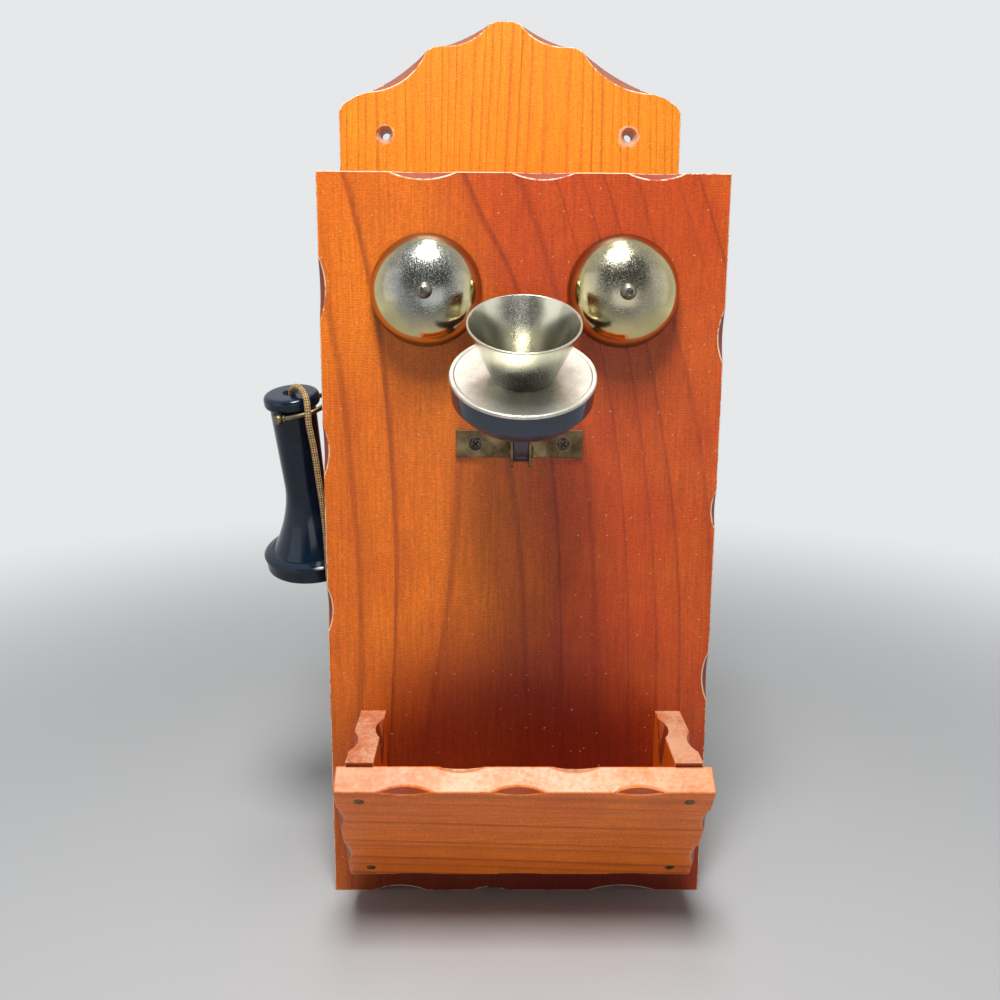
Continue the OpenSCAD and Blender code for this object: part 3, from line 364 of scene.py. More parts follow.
PREFIXES = ("ShaderNode", "GeometryNode", "FunctionNode", "")
CHOICES = ("operation", "interpolation_type", "data_type", "noise_dimensions", "mode")
SOCKETS = {float: "Float", int: "Int", tuple: "Vector"}


def add(tree, kind, *feeds, stops=None, **settings):
    """Adds a node. kind is its type, then a word for the first of CHOICES that it has.
    feeds are the colours, numbers, sockets or nodes for its live inputs, in order; for
    MapRange they are the value, the range it is in and the one it goes to. A setting with a
    capital is an input's name, and any other is the node's own; stops are a ramp's."""
    kind, _, choice = kind.partition(" ")
    made = tree.nodes.new(next(p + kind for p in PREFIXES if hasattr(bpy.types, p + kind)))
    if choice:
        setattr(made, next(c for c in CHOICES if hasattr(made, c)), choice)
    for key in [key for key in settings if key[0].islower()]:
        setattr(made, key, settings.pop(key))
    live = [socket for socket in made.inputs if socket.enabled]
    named = [(made.inputs[key.replace("_", " ")], value) for key, value in settings.items()]
    for socket, value in [*zip(live, feeds), *named]:
        if isinstance(value, bpy.types.Node):
            value = next(output for output in value.outputs if output.enabled)
        if isinstance(value, bpy.types.NodeSocket):
            tree.links.new(value, socket)
        else:
            socket.default_value = linear(value) if str(value)[0] == "#" else value
    if stops:
        ramp = made.color_ramp.elements
        while len(ramp) < len(stops):
            ramp.new(1.0)
        for element, (place, grey) in zip(ramp, stops):
            element.position, element.color = place, (grey, grey, grey, 1)
    return made


def cleared(owner):
    """Empties a material's or world's tree; returns the function that adds a node to it."""
    owner.use_nodes = True
    owner.node_tree.nodes.clear()
    return partial(add, owner.node_tree)


def new_material(name):
    """A material, and the function that adds a node to its tree."""
    material = bpy.data.materials.new(name)
    return material, cleared(material)


def coated(material, node, colour, height, strength, depth, **surface):
    """Ends a material's tree with its Principled shader over a bump, depth metres high."""
    bump = node("Bump", Height=height, Strength=strength, Distance=depth)
    shader = node("BsdfPrincipled", Base_Color=colour, Normal=bump, **surface)
    node("OutputMaterial", shader)
    return material


def wear_at_edges(node, radius, low, high):
    """A mask that is 1 along convex and concave edges, within a radius in millimetres."""
    rounded = node("Bevel", samples=8, Radius=radius * MM)
    alike = node("VectorMath DOT_PRODUCT", rounded, node("NewGeometry").outputs["Normal"])
    return node("MapRange", alike, 1 - low, 1 - high)


def pitted(node, place, per_metre, size, ground, colour):
    """Small dark pits in about one cell in seven; size is a share of a cell."""
    pits = node("TexVoronoi", place, Scale=per_metre)
    chance = node("SeparateXYZ", pits.outputs["Color"])
    near, rare = node("Math LESS_THAN", pits, size), node("Math GREATER_THAN", chance, 0.86)
    return node("Mix RGBA", node("Math MULTIPLY", near, rare), ground, colour)


# ---------------------------------------------------------------- materials


def stained_pine(
    name, early, late, deep, bare, turn=(0, 0, 0), pith=(-20, 60), ring=15.0, taper=0.06,
    shift=(0, 0, 0), heart=(0, -2, 1), late_share=0.7, wear=1.0, ripple=0.06, gloss=0.4,
    even=0.25, late_at=0.84, sweep=None, pocket_shade_and_stain=None, holes=(),
):
    """Flat-sawn pine, stained orange-red and brushed with satin varnish. Rings leave darker lines that lean
    with the trunk's taper, the heart is redder, fibres and pores give a fine pepper, the plane iron has left
    faint ripples, cut faces drink more stain, gouged hollows are darker partly from stain and partly as
    painted shade, and edges are rubbed back to pale wood. Upward faces are painted paler as a highlight from
    the light above, and a patch low in the middle can be painted shade with deeper stain. Lengths are in
    millimetres."""
    material, node = new_material(name)
    coordinates = node("TexCoord").outputs
    turn = [math.radians(a) for a in turn]
    place = node("Mapping", coordinates["Object"], mm(*shift), turn)
    cloud = node("TexNoise", place, Scale=14, Detail=4, Roughness=0.6)
    # growth rings: circles about the pith, leaning with the taper and pushed about
    slow = node("VectorMath MULTIPLY", place, (11, 11, 2.5))
    push = node("TexNoise", slow, Scale=1, Detail=1).outputs["Color"]
    centred = node("VectorMath SUBTRACT", push, (0.5, 0.5, 0.5))
    pushed = node("VectorMath MULTIPLY_ADD", centred, (0.022, 0.022, 0), place)
    if sweep:
        start, bend = sweep
        height = node("SeparateXYZ", place).outputs["Z"]
        above = node("MapRange", height, start * MM, 1, 0, 1 - start * MM)
        squared = node("Math MULTIPLY", above, above)
        moved = node("Math MULTIPLY", squared, bend / MM / 2)
        pushed = node("VectorMath ADD", pushed, node("CombineXYZ", moved))
    across = node("VectorMath MULTIPLY_ADD", pushed, (1, 1, 0), (*mm(-pith[0], -pith[1]), 0))
    radius = node("VectorMath LENGTH", across)
    spot = node("SeparateXYZ", pushed).outputs
    leaning = node("Math MULTIPLY_ADD", spot["Z"], taper, radius)
    count = node("Math DIVIDE", leaning, ring * MM)
    uneven = node("TexNoise 1D", count, Scale=0.45, Detail=1)
    stretched = node("Math MULTIPLY_ADD", uneven, 1.8, count)
    phase = node("Math FRACT", stretched)
    chance = node("TexWhiteNoise 1D", node("Math FLOOR", stretched))
    strength = node("MapRange", chance, 0, 1, even * late_share, late_share)
    latewood = node(
        "ValToRGB", phase,
        stops=[(0.0, 0.2), (0.5 - late_at / 2, 0.0), (late_at - 0.3, 0.04), (late_at, 0.25),
               ((1 + late_at) / 2, 1.0), (0.8 + 0.2 * late_at, 0.9), (1.0, 0.2)],
    )
    line = node("Math MULTIPLY", latewood, strength)
    middle, near, fade = (v * MM for v in heart)
    from_heart = node("Math ABSOLUTE", node("Math SUBTRACT", spot["X"], middle))
    in_heart = node("MapRange SMOOTHSTEP", from_heart, near, near + fade, 0.75, 0)
    cloudy = node("MapRange", cloud, 0.36, 0.7, 0, 0.45)
    redder = node("Math ADD", in_heart, cloudy, use_clamp=True)
    stained = node("Mix RGBA", line, node("Mix RGBA", redder, early, deep), late)
    # painted shade inside the letter pocket, where its front keeps the light off the panel, with partly
    # deeper stain: a maroon patch low in the middle
    if pocket_shade_and_stain:
        x, z, wide, high = (v * MM for v in pocket_shade_and_stain)
        share, back = (1 / wide, 0, 1 / high), (-x / wide, 0, -z / high)
        patch_offset = node("VectorMath MULTIPLY_ADD", pushed, share, back)
        shade_and_stain_share = node("MapRange SMOOTHSTEP", node("VectorMath LENGTH", patch_offset), 0.6, 1.2, 0.9, 0)
        stained = node("Mix RGBA", shade_and_stain_share, stained, "#6a1a12")
    # fibres along the grain, a pepper of pores, and the plane iron's ripples across it
    long_way = node("VectorMath MULTIPLY", place, (1, 1, 0.045))
    fibres = node("TexNoise", long_way, Scale=900, Detail=3, Roughness=0.65)
    flecked = node("VectorMath MULTIPLY", place, (0.4, 1, 1.1))
    pores = node("TexNoise", flecked, Scale=1500, Detail=2, Roughness=0.6)
    bent = node("Math MULTIPLY_ADD", cloud, 0.012, spot["Z"])
    swell = node("Math SINE", node("Math MULTIPLY", bent, 2 * math.pi / (RIPPLE_PITCH * MM)))
    patches = node("TexNoise", place, Scale=38, Detail=2)
    reach = node("MapRange", patches, 0.38, 0.6, 0, ripple)
    rippled = node("Math MULTIPLY_ADD", swell, reach, 1)
    streak = node("MapRange", fibres, 0.3, 0.7, 0.82, 1.14)
    pepper = node("MapRange", pores, 0.32, 0.68, 0.79, 1.18)
    grain = node("Math MULTIPLY", streak, pepper)
    grained = node("VectorMath SCALE", stained, node("Math MULTIPLY", grain, rippled))
    # sawn ends take the stain darker and redder; gouged hollows are darker too, partly from stain and partly
    # as painted shade
    facing = node("Mapping", coordinates["Normal"], vector_type="NORMAL", Rotation=turn)
    cut = node("Math ABSOLUTE", node("SeparateXYZ", facing).outputs["Z"])
    sawn = node("MapRange", cut, 0.3, 0.8, 0, 0.6)
    carved, eased, top = (
        node("Attribute", attribute_name=key).outputs["Fac"]
        for key in ("carved", "eased", "handled")
    )
    dark = node("Math MAXIMUM", sawn, node("Math MULTIPLY", carved, 0.85))
    ended = node("Mix RGBA", dark, grained, "#7c2c18")
    # pale chips and short scratches in the varnish: one to a cell, at a chance angle
    cells = node("TexVoronoi", place, Scale=85).outputs
    local = node("VectorMath SUBTRACT", place, cells["Position"])
    dice = node("SeparateXYZ", cells["Color"]).outputs
    angle = node("Math MULTIPLY", dice["X"], 2 * math.pi)
    swung = node("VectorRotate", local, Axis=(0, 1, 0), Angle=angle)
    squeeze = node("CombineXYZ", 1, 0, node("MapRange", dice["Y"], 0, 1, 0.3, 1))
    away = node("VectorMath LENGTH", node("VectorMath MULTIPLY", swung, squeeze))
    inside = node("Math LESS_THAN", away, CHIP_R * MM)
    chosen = node("Math GREATER_THAN", dice["Z"], 0.62)
    chip = node("Math MULTIPLY", node("Math MULTIPLY", inside, chosen), 0.5)
    # bare wood: along the eased edges, near them in patches, and round the screw holes
    rough = node("TexNoise", place, Scale=420, Detail=3, Roughness=0.65)
    hold = node("Math ADD", rough, patches)
    strip = node("Math MULTIPLY", node("MapRange", hold, 0.84, 0.98, 0, wear), eased)
    held = node("Math ADD", wear_at_edges(node, 1.3, 0.02, 0.2), hold)
    bared = node("Math MAXIMUM", strip, node("MapRange", held, 1.95, 2.15, 0, wear))
    for x, z in holes:
        apart = node("VectorMath MULTIPLY_ADD", place, (1, 0, 1), mm(-x, 0, -z))
        ragged = node("Math MULTIPLY_ADD", hold, -0.006, node("VectorMath LENGTH", apart))
        worn = node("MapRange", ragged, -0.001, 0, 0.45, 0)
        bared = node("Math MAXIMUM", bared, worn)
    bared = node("Math MAXIMUM", bared, chip)
    # upward faces painted paler as a highlight from the light above, most in their middle
    handled = node("MapRange", hold, 0.81, 1.13, 0.24, 0.93)
    sideways = node("Math ABSOLUTE", node("SeparateXYZ", coordinates["Object"]))
    fading = node("MapRange", sideways, 0.03, 0.095, 1, 0.5)
    painted_sheen_share = node("Math MULTIPLY", handled, node("Math MULTIPLY", fading, top))
    pale = node("Math MAXIMUM", bared, painted_sheen_share)
    paled = node("Mix RGBA", pale, ended, bare)
    satin = node("Math MULTIPLY_ADD", cloud, 0.12, node("Math MULTIPLY_ADD", pale, 0.3, gloss))
    relief = node("Math MULTIPLY_ADD", swell, reach, grain)
    scored = node("Math MULTIPLY_ADD", pale, -0.6, relief)
    return coated(
        material, node, paled, scored, 0.4, 0.00012, Roughness=satin, Coat_Weight=0.1,
        Coat_Roughness=0.2, IOR=1.38,
    )


def speckled_plate(name, clean, tarnish, dull, patches, polish, cover, flank=None):
    """Thin bright plating over spun brass: a mirror that has gone slate grey in patches, under a sandy
    pepper of pale corrosion specks that scatter the light. Each patch is a centre, the distance up to which
    it is full and the one where it ends, in millimetres; on the mouthpiece's lower outside a patch is
    painted shade, not tarnish.
    flank is how far towards the wall (Y, mm) a brown painted shade begins and where it is full: it darkens
    the rim that mirrors the panel in the gong's shade."""
    material, node = new_material(name)
    place = node("TexCoord").outputs["Object"]
    pepper = node("TexNoise", place, Scale=1700, Detail=2, Roughness=0.7)
    bank = node("TexNoise", place, Scale=55, Detail=4, Roughness=0.6)
    zone = None
    for centre, near, far in patches:
        ragged = node("Math MULTIPLY_ADD", bank, 0.014, node("VectorMath DISTANCE", place, centre))
        patch = node("MapRange SMOOTHSTEP", ragged, (near + 7) * MM, (far + 7) * MM, 1, 0)
        zone = node("Math MAXIMUM", zone, patch) if zone else patch
    # the patches take the tarnish colour, which on the mouthpiece's lower outside is painted shade
    ground = node("Mix RGBA", zone, clean, tarnish)
    # painted shade: the rim near the wall is browned to stand for the shaded panel it mirrors
    if flank:
        depth = node("SeparateXYZ", place).outputs["Y"]
        rim_shade = node("MapRange SMOOTHSTEP", depth, flank[0] * MM, flank[1] * MM, 0, 0.82)
        ground = node("Mix RGBA", rim_shade, ground, "#56514c")
    # the share that specks cover is highest in the banks near the centre
    dense = node("Math MULTIPLY", bank, zone)
    specks = node("MapRange", node("Math MULTIPLY_ADD", dense, 0.34 * cover, pepper), 0.64, 0.84)
    colour = pitted(node, place, 190, 0.07, node("Mix RGBA", specks, ground, dull), "#2b2419")
    rough = node("Math MULTIPLY_ADD", zone, 0.08, node("MapRange", specks, 0, 1, polish, 0.3))
    return coated(material, node, colour, specks, 0.35, 0.00004, Roughness=rough, Metallic=1)


def spun_nickel(name, clean, stain, polish, matrix, rings):
    """Nickel-plated spun brass: satin, faintly ringed by the lathe, with brownish clouds
    where the plating is thin and small dark pits."""
    material, node = new_material(name)
    own = matrix.inverted()
    place = node(
        "Mapping", node("TexCoord").outputs["Object"], own.to_translation(), own.to_euler()
    )
    cloud = node("TexNoise", place, Scale=55, Detail=5, Roughness=0.6)
    dust = node("TexNoise", place, Scale=1500, Detail=2, Roughness=0.7)
    ground = node("Mix RGBA", node("MapRange", cloud, 0.4, 0.7, 0, 0.8), clean, stain)
    shaded = node("VectorMath SCALE", ground, node("MapRange", dust, 0.35, 0.7, 0.86, 1.1))
    colour = pitted(node, place, 210, 0.09, shaded, "#2a251c")
    rough = node("Math MULTIPLY_ADD", cloud, 0.22, polish - 0.1)
    around = node("VectorMath MULTIPLY", place, (1, 1, 0))
    lathe = node("TexNoise 1D", node("VectorMath LENGTH", around), Scale=1800)
    relief = node("Math MULTIPLY_ADD", lathe, rings, dust)
    return coated(material, node, colour, relief, 0.2, 0.00003, Roughness=rough, Metallic=1)


def aged_metal(name, clean, stain, polish=0.35, scale=90.0, edge="#d8c58a"):
    """Plain drawn or cast metal gone dull: brown-grey clouds over its own colour, with
    edges rubbed bright."""
    material, node = new_material(name)
    place = node("TexCoord").outputs["Object"]
    cloud = node("TexNoise", place, Scale=scale, Detail=6, Roughness=0.65)
    cloudy = node("MapRange", cloud, 0.36, 0.64)
    ground = node("Mix RGBA", cloudy, clean, stain)
    rim = node("Math MULTIPLY", wear_at_edges(node, 0.5, 0.03, 0.2), 0.6)
    colour = node("Mix RGBA", rim, ground, edge)
    rough = node("MapRange", cloudy, 0, 1, polish, polish + 0.22)
    return coated(material, node, colour, cloud, 0.25, 0.00008, Roughness=rough, Metallic=1)


def black_moulding(name, colour, dusty, gloss, ior=1.4):
    """Moulded black plastic with a polished skin: deep blue-black, with faint grey handling
    marks and dust that soften the shine."""
    material, node = new_material(name)
    place = node("TexCoord").outputs["Object"]
    smear = node("TexNoise", place, Scale=70, Detail=6, Roughness=0.7)
    specks = node("TexNoise", place, Scale=1300, Detail=1)
    dust = node(
        "Math MAXIMUM", node("MapRange", smear, 0.55, 0.85, 0, 0.35),
        node("MapRange", specks, 0.7, 0.78, 0, 0.5),
    )
    edge = node("Math MULTIPLY", wear_at_edges(node, 0.6, 0.03, 0.25), 0.25)
    ground = node("Mix RGBA", node("Math MAXIMUM", dust, edge), colour, dusty)
    rough = node("Math MULTIPLY_ADD", dust, 0.35, gloss)
    return coated(material, node, ground, smear, 0.12, 0.0002, Roughness=rough, IOR=ior)


def braided_cloth(name, light, dark):
    """Braided rayon over rubber: gold and brown yarns crossing on the bias, with painted sheen on the crowns
    and painted shade in the crossings. Reads the braid's own attributes."""
    material, node = new_material(name)
    yarn, crown = (
        node("Attribute", attribute_name=key).outputs["Fac"] for key in ("yarn", "crown")
    )
    place = node("TexCoord").outputs["Object"]
    lint = node("TexNoise", place, Scale=2600, Detail=2)
    pick = node("MapRange", node("Math MULTIPLY_ADD", lint, 0.5, yarn), 0.3, 1.2)
    # painted shade in the crossings and painted sheen on the crowns, by the yarn's height
    lit = node("MapRange", crown, 0, 1, 0.38, 1.08)
    shaded = node("VectorMath SCALE", node("Mix RGBA", pick, dark, light), lit)
    return coated(
        material, node, shaded, lint, 0.4, 0.0001, Roughness=0.62, Sheen_Weight=0.35,
        Sheen_Roughness=0.4,
    )


def soft_rubber(name, colour):
    """Moulded rubber: matt, with a slight bloom."""
    material, node = new_material(name)
    bloom = node("TexNoise", node("TexCoord").outputs["Object"], Scale=320, Detail=4)
    ground = node("Mix RGBA", bloom, colour, "#4a413a")
    node("OutputMaterial", node("BsdfPrincipled", Base_Color=ground, Roughness=0.75))
    return material


# ---------------------------------------------------------------- geometry node trees


def new_group(name, **sockets):
    """A geometry node tree, the function that adds a node to it, and its inputs. Each is
    given as its default or, where it has none, as its kind."""
    tree = bpy.data.node_groups.new(name, "GeometryNodeTree")
    for label, value in sockets.items():
        kind = SOCKETS.get(type(value), value)
        socket = tree.interface.new_socket(
            name=label.replace("_", " "), in_out="INPUT", socket_type="NodeSocket" + kind
        )
        if kind != value:
            socket.default_value = value
    tree.interface.new_socket(
        name="Geometry", in_out="OUTPUT", socket_type="NodeSocketGeometry"
    )
    node = partial(add, tree)
    return tree, node, node("NodeGroupInput").outputs


def painted(node, shape, material):
    """Ends a geometry tree: the shape is made real and given its material."""
    real = node("RealizeInstances", shape)
    node("NodeGroupOutput", node("SetMaterial", real, Material=material))


def grown(piece, tree, **values):
    """Runs a node tree on a piece with its inputs set by identifier; keeps the plain mesh."""
    modifier = piece.modifiers.new("grow", "NODES")
    modifier.node_group = tree
    for socket in tree.interface.items_tree:
        label = socket.name.replace(" ", "_")
        if label in values:
            modifier[socket.identifier] = values[label]
    return settled(piece)


def placing_tree():
    """Sets one shape on every point, its Z along the point's aim and turned about it."""
    tree, node, given = new_group(
        "set_on_points", Points="Geometry", Shape="Object", Scale=1.0, Material="Material"
    )
    aim = node("InputNamedAttribute FLOAT_VECTOR", "aim")
    aligned = node("AlignRotationToVector", Vector=aim, axis="Z")
    twist = node("AxisAngleToRotation", (0, 0, 1), node("InputNamedAttribute FLOAT", "turn"))
    rotation = node("RotateRotation", aligned, twist, rotation_space="LOCAL")
    shape = node("GeometryNodeObjectInfo", given["Shape"]).outputs["Geometry"]
    copies = node(
        "InstanceOnPoints", node("MeshToPoints", given["Points"]), Instance=shape,
        Rotation=rotation, Scale=given["Scale"],
    )
    painted(node, copies, given["Material"])
    return tree


def braid_tree():
    """A tube along a curve whose skin is a braid: two families of yarns wound opposite ways
    pass over and under each other, and each cell rises over the yarn on top."""
    tree, node, given = new_group(
        "braided_cord", Route="Geometry", Diameter=0.0036, Yarns=8.0, Lay=0.011,
        Relief=0.0002, Step=0.0003, Sides=40, Material="Material",
    )
    even = node("ResampleCurve LENGTH", Curve=given["Route"], Length=given["Step"])
    walked = node("SplineParameter").outputs["Length"]
    marked = node("StoreNamedAttribute FLOAT", even, Name="along", Value=walked)
    radius = node("Math MULTIPLY", given["Diameter"], 0.5)
    inner = node("Math SUBTRACT", radius, given["Relief"])
    ring = node("CurvePrimitiveCircle RADIUS", Resolution=given["Sides"], Radius=inner)
    share = node("Math DIVIDE", node("InputIndex"), given["Sides"])
    ring = node("StoreNamedAttribute FLOAT", ring, Name="around", Value=share)
    skin = node("CurveToMesh", Curve=marked, Profile_Curve=ring, Fill_Caps=True)
    along, around = (node("InputNamedAttribute FLOAT", key) for key in ("along", "around"))
    turns = node("Math DIVIDE", along, given["Lay"])
    heights, numbers = [], []
    for sense in ("ADD", "SUBTRACT"):
        counted = node("Math MULTIPLY", node("Math " + sense, around, turns), given["Yarns"])
        numbers.append(node("Math FLOOR", counted))
        wave = node("Math SINE", node("Math MULTIPLY", counted, math.pi))
        heights.append(node("Math ABSOLUTE", wave))
    odd = node("Math FLOORED_MODULO", node("Math ADD", *numbers), 2)
    top, under = node("Mix FLOAT", odd, *heights), node("Mix FLOAT", odd, *heights[::-1])
    level = node("Math MULTIPLY", node("Math MULTIPLY_ADD", under, 0.35, top), 0.74)
    lift = node("Math MULTIPLY", level, given["Relief"])
    offset = node("VectorMath SCALE", node("InputNormal"), lift)
    raised = node("SetPosition", skin, Offset=offset)
    # the height is kept for the cloth's painted shade and sheen
    crowned = node("StoreNamedAttribute FLOAT", raised, Name="crown", Value=level)
    yarned = node("StoreNamedAttribute FLOAT", crowned, Name="yarn", Value=odd)
    painted(node, yarned, given["Material"])
    return tree


def perforating_tree():
    """Drills a ring of holes and one in its middle, along a piece's own axis."""
    tree, node, given = new_group(
        "sound_holes", Plate="Geometry", Hole_diameter=0.0024, Ring_radius=0.006,
        Holes_in_ring=6, Depth=0.01, Origin=(0, 0, 0), Turn=(0, 0, 0), Material="Material",
    )
    radius = node("Math MULTIPLY", given["Hole diameter"], 0.5)
    drill = node("MeshCylinder", Vertices=32, Radius=radius, Depth=given["Depth"])
    ring = node("MeshCircle", Vertices=given["Holes in ring"], Radius=given["Ring radius"])
    places = node("JoinGeometry", ring)
    tree.links.new(node("MeshLine", Count=1).outputs["Mesh"], places.inputs["Geometry"])
    drills = node("RealizeInstances", node("InstanceOnPoints", places, Instance=drill))
    moved = node("Transform", drills, Translation=given["Origin"], Rotation=given["Turn"])
    cut = node("MeshBoolean DIFFERENCE", given["Plate"], moved, solver="EXACT")
    painted(node, cut, given["Material"])
    return tree


# ---------------------------------------------------------------- settings


def hue(name, code, description):
    """A colour setting whose default is an sRGB hex value."""
    return FloatVectorProperty(
        name=name, description=description, subtype="COLOR", size=4, min=0, max=1,
        default=linear(code),
    )


def length(name, value, description):
    """A length setting whose default is given in millimetres."""
    return FloatProperty(
        name=name, description=description, unit="LENGTH", min=0, precision=4,
        default=value * MM,
    )


def amount(name, value, description, **limits):
    """A setting that is a plain number, 0 or more unless limits say otherwise."""
    return FloatProperty(name=name, description=description, default=value, **{"min": 0, **limits})


class TelephoneWood(PropertyGroup):
    edge_ease: length("Edge easing", 0.5, "Width of the rubbed edge on each board")
    crown_early: hue("Crown earlywood", "#e88a1c", "Soft wood of the back board")
    crown_late: hue("Crown latewood", "#a8480e", "Ring lines and cut faces of the back board")
    crown_deep: hue("Crown heart", "#e67c14", "Redder clouds of the back board")
    panel_early: hue("Panel earlywood", "#e27414", "Soft wood of the front panel")
    panel_late: hue("Panel latewood", "#7a2212", "Ring lines and cut faces of the front panel")
    panel_deep: hue("Panel heart", "#bc4612", "Redder heart of the front panel")
    pocket_early: hue("Pocket earlywood", "#f27c1a", "Soft wood of the letter pocket")
    pocket_late: hue("Pocket latewood", "#a03a12", "Ring lines of the letter pocket")
    pocket_deep: hue("Pocket heart", "#cc5012", "Redder clouds of the letter pocket")
    # also the colour of the painted highlight on upward faces
    bare: hue("Bare pine", "#e4bf9e", "Pale wood where the stain has worn off")
    panel_ring: length("Panel ring spacing", 14.0, "Distance between the panel's rings")
    crown_ring: length("Crown ring spacing", 5.4, "Distance between the crown's rings")


class TelephoneMetal(PropertyGroup):
    gong_clean: hue("Gong plating", "#d6c890", "Brassy plating round the gongs' rims")
    gong_stain: hue("Left gong tarnish", "#7c7d7b", "Slate tarnish over the left gong's crown")
    gong_brown: hue("Right gong tarnish", "#938b74", "Brassy tarnish over the right gong's crown")
    gong_dull: hue("Gong specks", "#c0c0b2", "Pale specks on the gongs")
    horn_clean: hue("Horn nickel", "#cac7b2", "Bright plating of the mouthpiece")
    # the mouthpiece's grey is tarnish inside and painted shade on its lower outside
    horn_stain: hue("Horn tarnish and shade", "#65645e", "Grey tarnish in the mouthpiece, painted shade under it")
    plate: hue("Plate nickel", "#e4e2d6", "Bright plating of the face plate")
    brass_clean: hue("Bracket brass", "#7c6b4e", "Brass of the bracket and the fork")
    brass_stain: hue("Bracket patina", "#54452f", "Brown patina on the brass")
    steel: hue("Screw steel", "#8f8a80", "Plain steel of the screws")
    steel_stain: hue("Screw patina", "#544a40", "Dark film on the steel")
    bronze: hue("Nail bronze", "#8a6a3c", "Bronze of the nail heads")


class TelephoneBlack(PropertyGroup):
    moulding: hue("Moulding", "#091a2b", "Black plastic of the receiver")
    # painted reflection: the cup's plastic is made paler and bluer to stand for the surroundings it mirrors
    cup: hue("Cup moulding", "#303d4d", "Black plastic of the transmitter's cup, paler and bluer as painted reflection")
    dust: hue("Dust", "#38424e", "Grey dust and handling marks")
    gloss: amount("Gloss", 0.13, "Roughness of the polished plastic", max=1, subtype="FACTOR")


class TelephoneCord(PropertyGroup):
    diameter: length("Cord diameter", 3.6, "Width of the braided cord")
    lay: length("Braid lay", 12.0, "Length in which a yarn goes once round the cord")
    relief: length("Braid relief", 0.26, "Height of a yarn's crown")
    light: hue("Gold yarn", "#d2ab64", "Light yarns of the braid")
    dark: hue("Brown yarn", "#442c18", "Dark yarns of the braid")
    yarns: IntProperty(
        name="Yarns", description="Yarns that wind each way", default=8, min=3, max=24
    )


class TelephoneStage(PropertyGroup):
    floor: hue("Floor", "#b4b5b6", "Pale floor under the telephone")
    backdrop: hue("Backdrop", "#e6e8ea", "Pale background")
    key: amount("Key light", 16.0, "Power of the key")
    top: amount("Top light", 4.0, "Power from above")
    fill: amount("Fill light", 1.3, "Power of the fill")
    ambient: amount("Ambient", 0.2, "Light from the sky on the object")
    lens: amount("Lens", 36.93, "Focal length in mm", min=1)


# ---------------------------------------------------------------- operators


def seen_rays(node):
    """1 on the rays that show a thing: from the camera, off a mirror or through glass."""
    rays = node("LightPath").outputs
    straight = node("Math MAXIMUM", rays["Is Camera Ray"], rays["Is Glossy Ray"])
    return node("Math MAXIMUM", straight, rays["Is Transmission Ray"])


class SCENE_OT_telephone_stage(Operator):
    """Adds the camera, the pale floor, the soft lights and the studio surroundings"""

    bl_idname = "scene.telephone_stage"
    bl_label = "Stage"

    def execute(self, context):
        setting = context.scene.telephone_stage
        lens = bpy.data.cameras.new("camera")
        lens.lens, lens.sensor_width = setting.lens, 36.0
        lens.clip_start, lens.clip_end = 0.01, 50
        camera = new_object("camera", lens)
        camera.matrix_world = placed(
            CAMERA, (-CAMERA_YAW, "Z"), (90 - CAMERA_PITCH, "X"), (-CAMERA_ROLL, "Z")
        )
        context.scene.camera = camera

        for name, place, aim, size, power in (
            ("key_light", (-0.05, -0.5, 1.2), (0, -0.05, 0.3), (0.3, 0.4), setting.key),
            ("top_light", (0.0, -0.02, 1.7), (0, -0.06, 0.2), (0.3, 0.6), setting.top),
            ("front_light", (0.1, -1.3, 0.2), (0, 0, 0.2), (0.6, 0.4), setting.fill),
            ("fill_left", (-1.0, -0.7, 0.5), (0, 0, 0.25), (0.8, 0.9), setting.fill),
            ("fill_right", (1.05, -0.6, 0.5), (0, 0, 0.25), (0.8, 0.9), setting.fill * 0.7),
        ):
            lamp = bpy.data.lights.new(name, "AREA")
            lamp.shape, lamp.size, lamp.size_y = "RECTANGLE", *size
            lamp.energy = power
            light = new_object(name, lamp)
            light.location = place
            towards = Vector(aim) - Vector(place)
            light.rotation_euler = towards.to_track_quat("-Z", "Y").to_euler()

        bm = bmesh.new()
        bmesh.ops.create_circle(bm, cap_ends=True, segments=96, radius=6.0)
        floor = from_bmesh("floor", bm)
        material, node = new_material("pale_floor")
        spot = node("TexCoord").outputs["Object"]
        away = node("VectorMath LENGTH", spot)
        fade = node("MapRange SMOOTHSTEP", away, 0.3, 1.1)
        forward = node("VectorMath DOT_PRODUCT", node("VectorMath NORMALIZE", spot), (0, -1, 0))
        dusk = node("MapRange SMOOTHSTEP", forward, 0.87, 1.09, 1, 0.122)
        matt = node(
            "BsdfPrincipled", Base_Color=setting.floor, Roughness=0.6, Specular_IOR_Level=0.2
        )
        share = node("Math MULTIPLY", fade, seen_rays(node))
        far = node("Emission", setting.backdrop, dusk)
        node("OutputMaterial", node("MixShader", share, matt, far))
        floor.data.materials.append(material)

        # the studio is pale all round, but for its dim far end above the horizon in front
        world = bpy.data.worlds.new("studio")
        node = cleared(world)
        front = Vector((0, -0.87, 0.5)).normalized()
        way = node("TexCoord").outputs["Generated"]
        dim = node("VectorMath DOT_PRODUCT", way, front)
        dim_share = node("MapRange SMOOTHSTEP", dim, 0.72, 0.9, 0, 0.93)
        pale = node("Mix RGBA", dim_share, setting.backdrop, "#3a3d42")
        strength = node("MapRange", seen_rays(node), 0, 1, setting.ambient, 1)
        node("OutputWorld", node("Background", pale, strength))
        context.scene.world = world
        context.scene.view_settings.view_transform = "Standard"
        return {"FINISHED"}


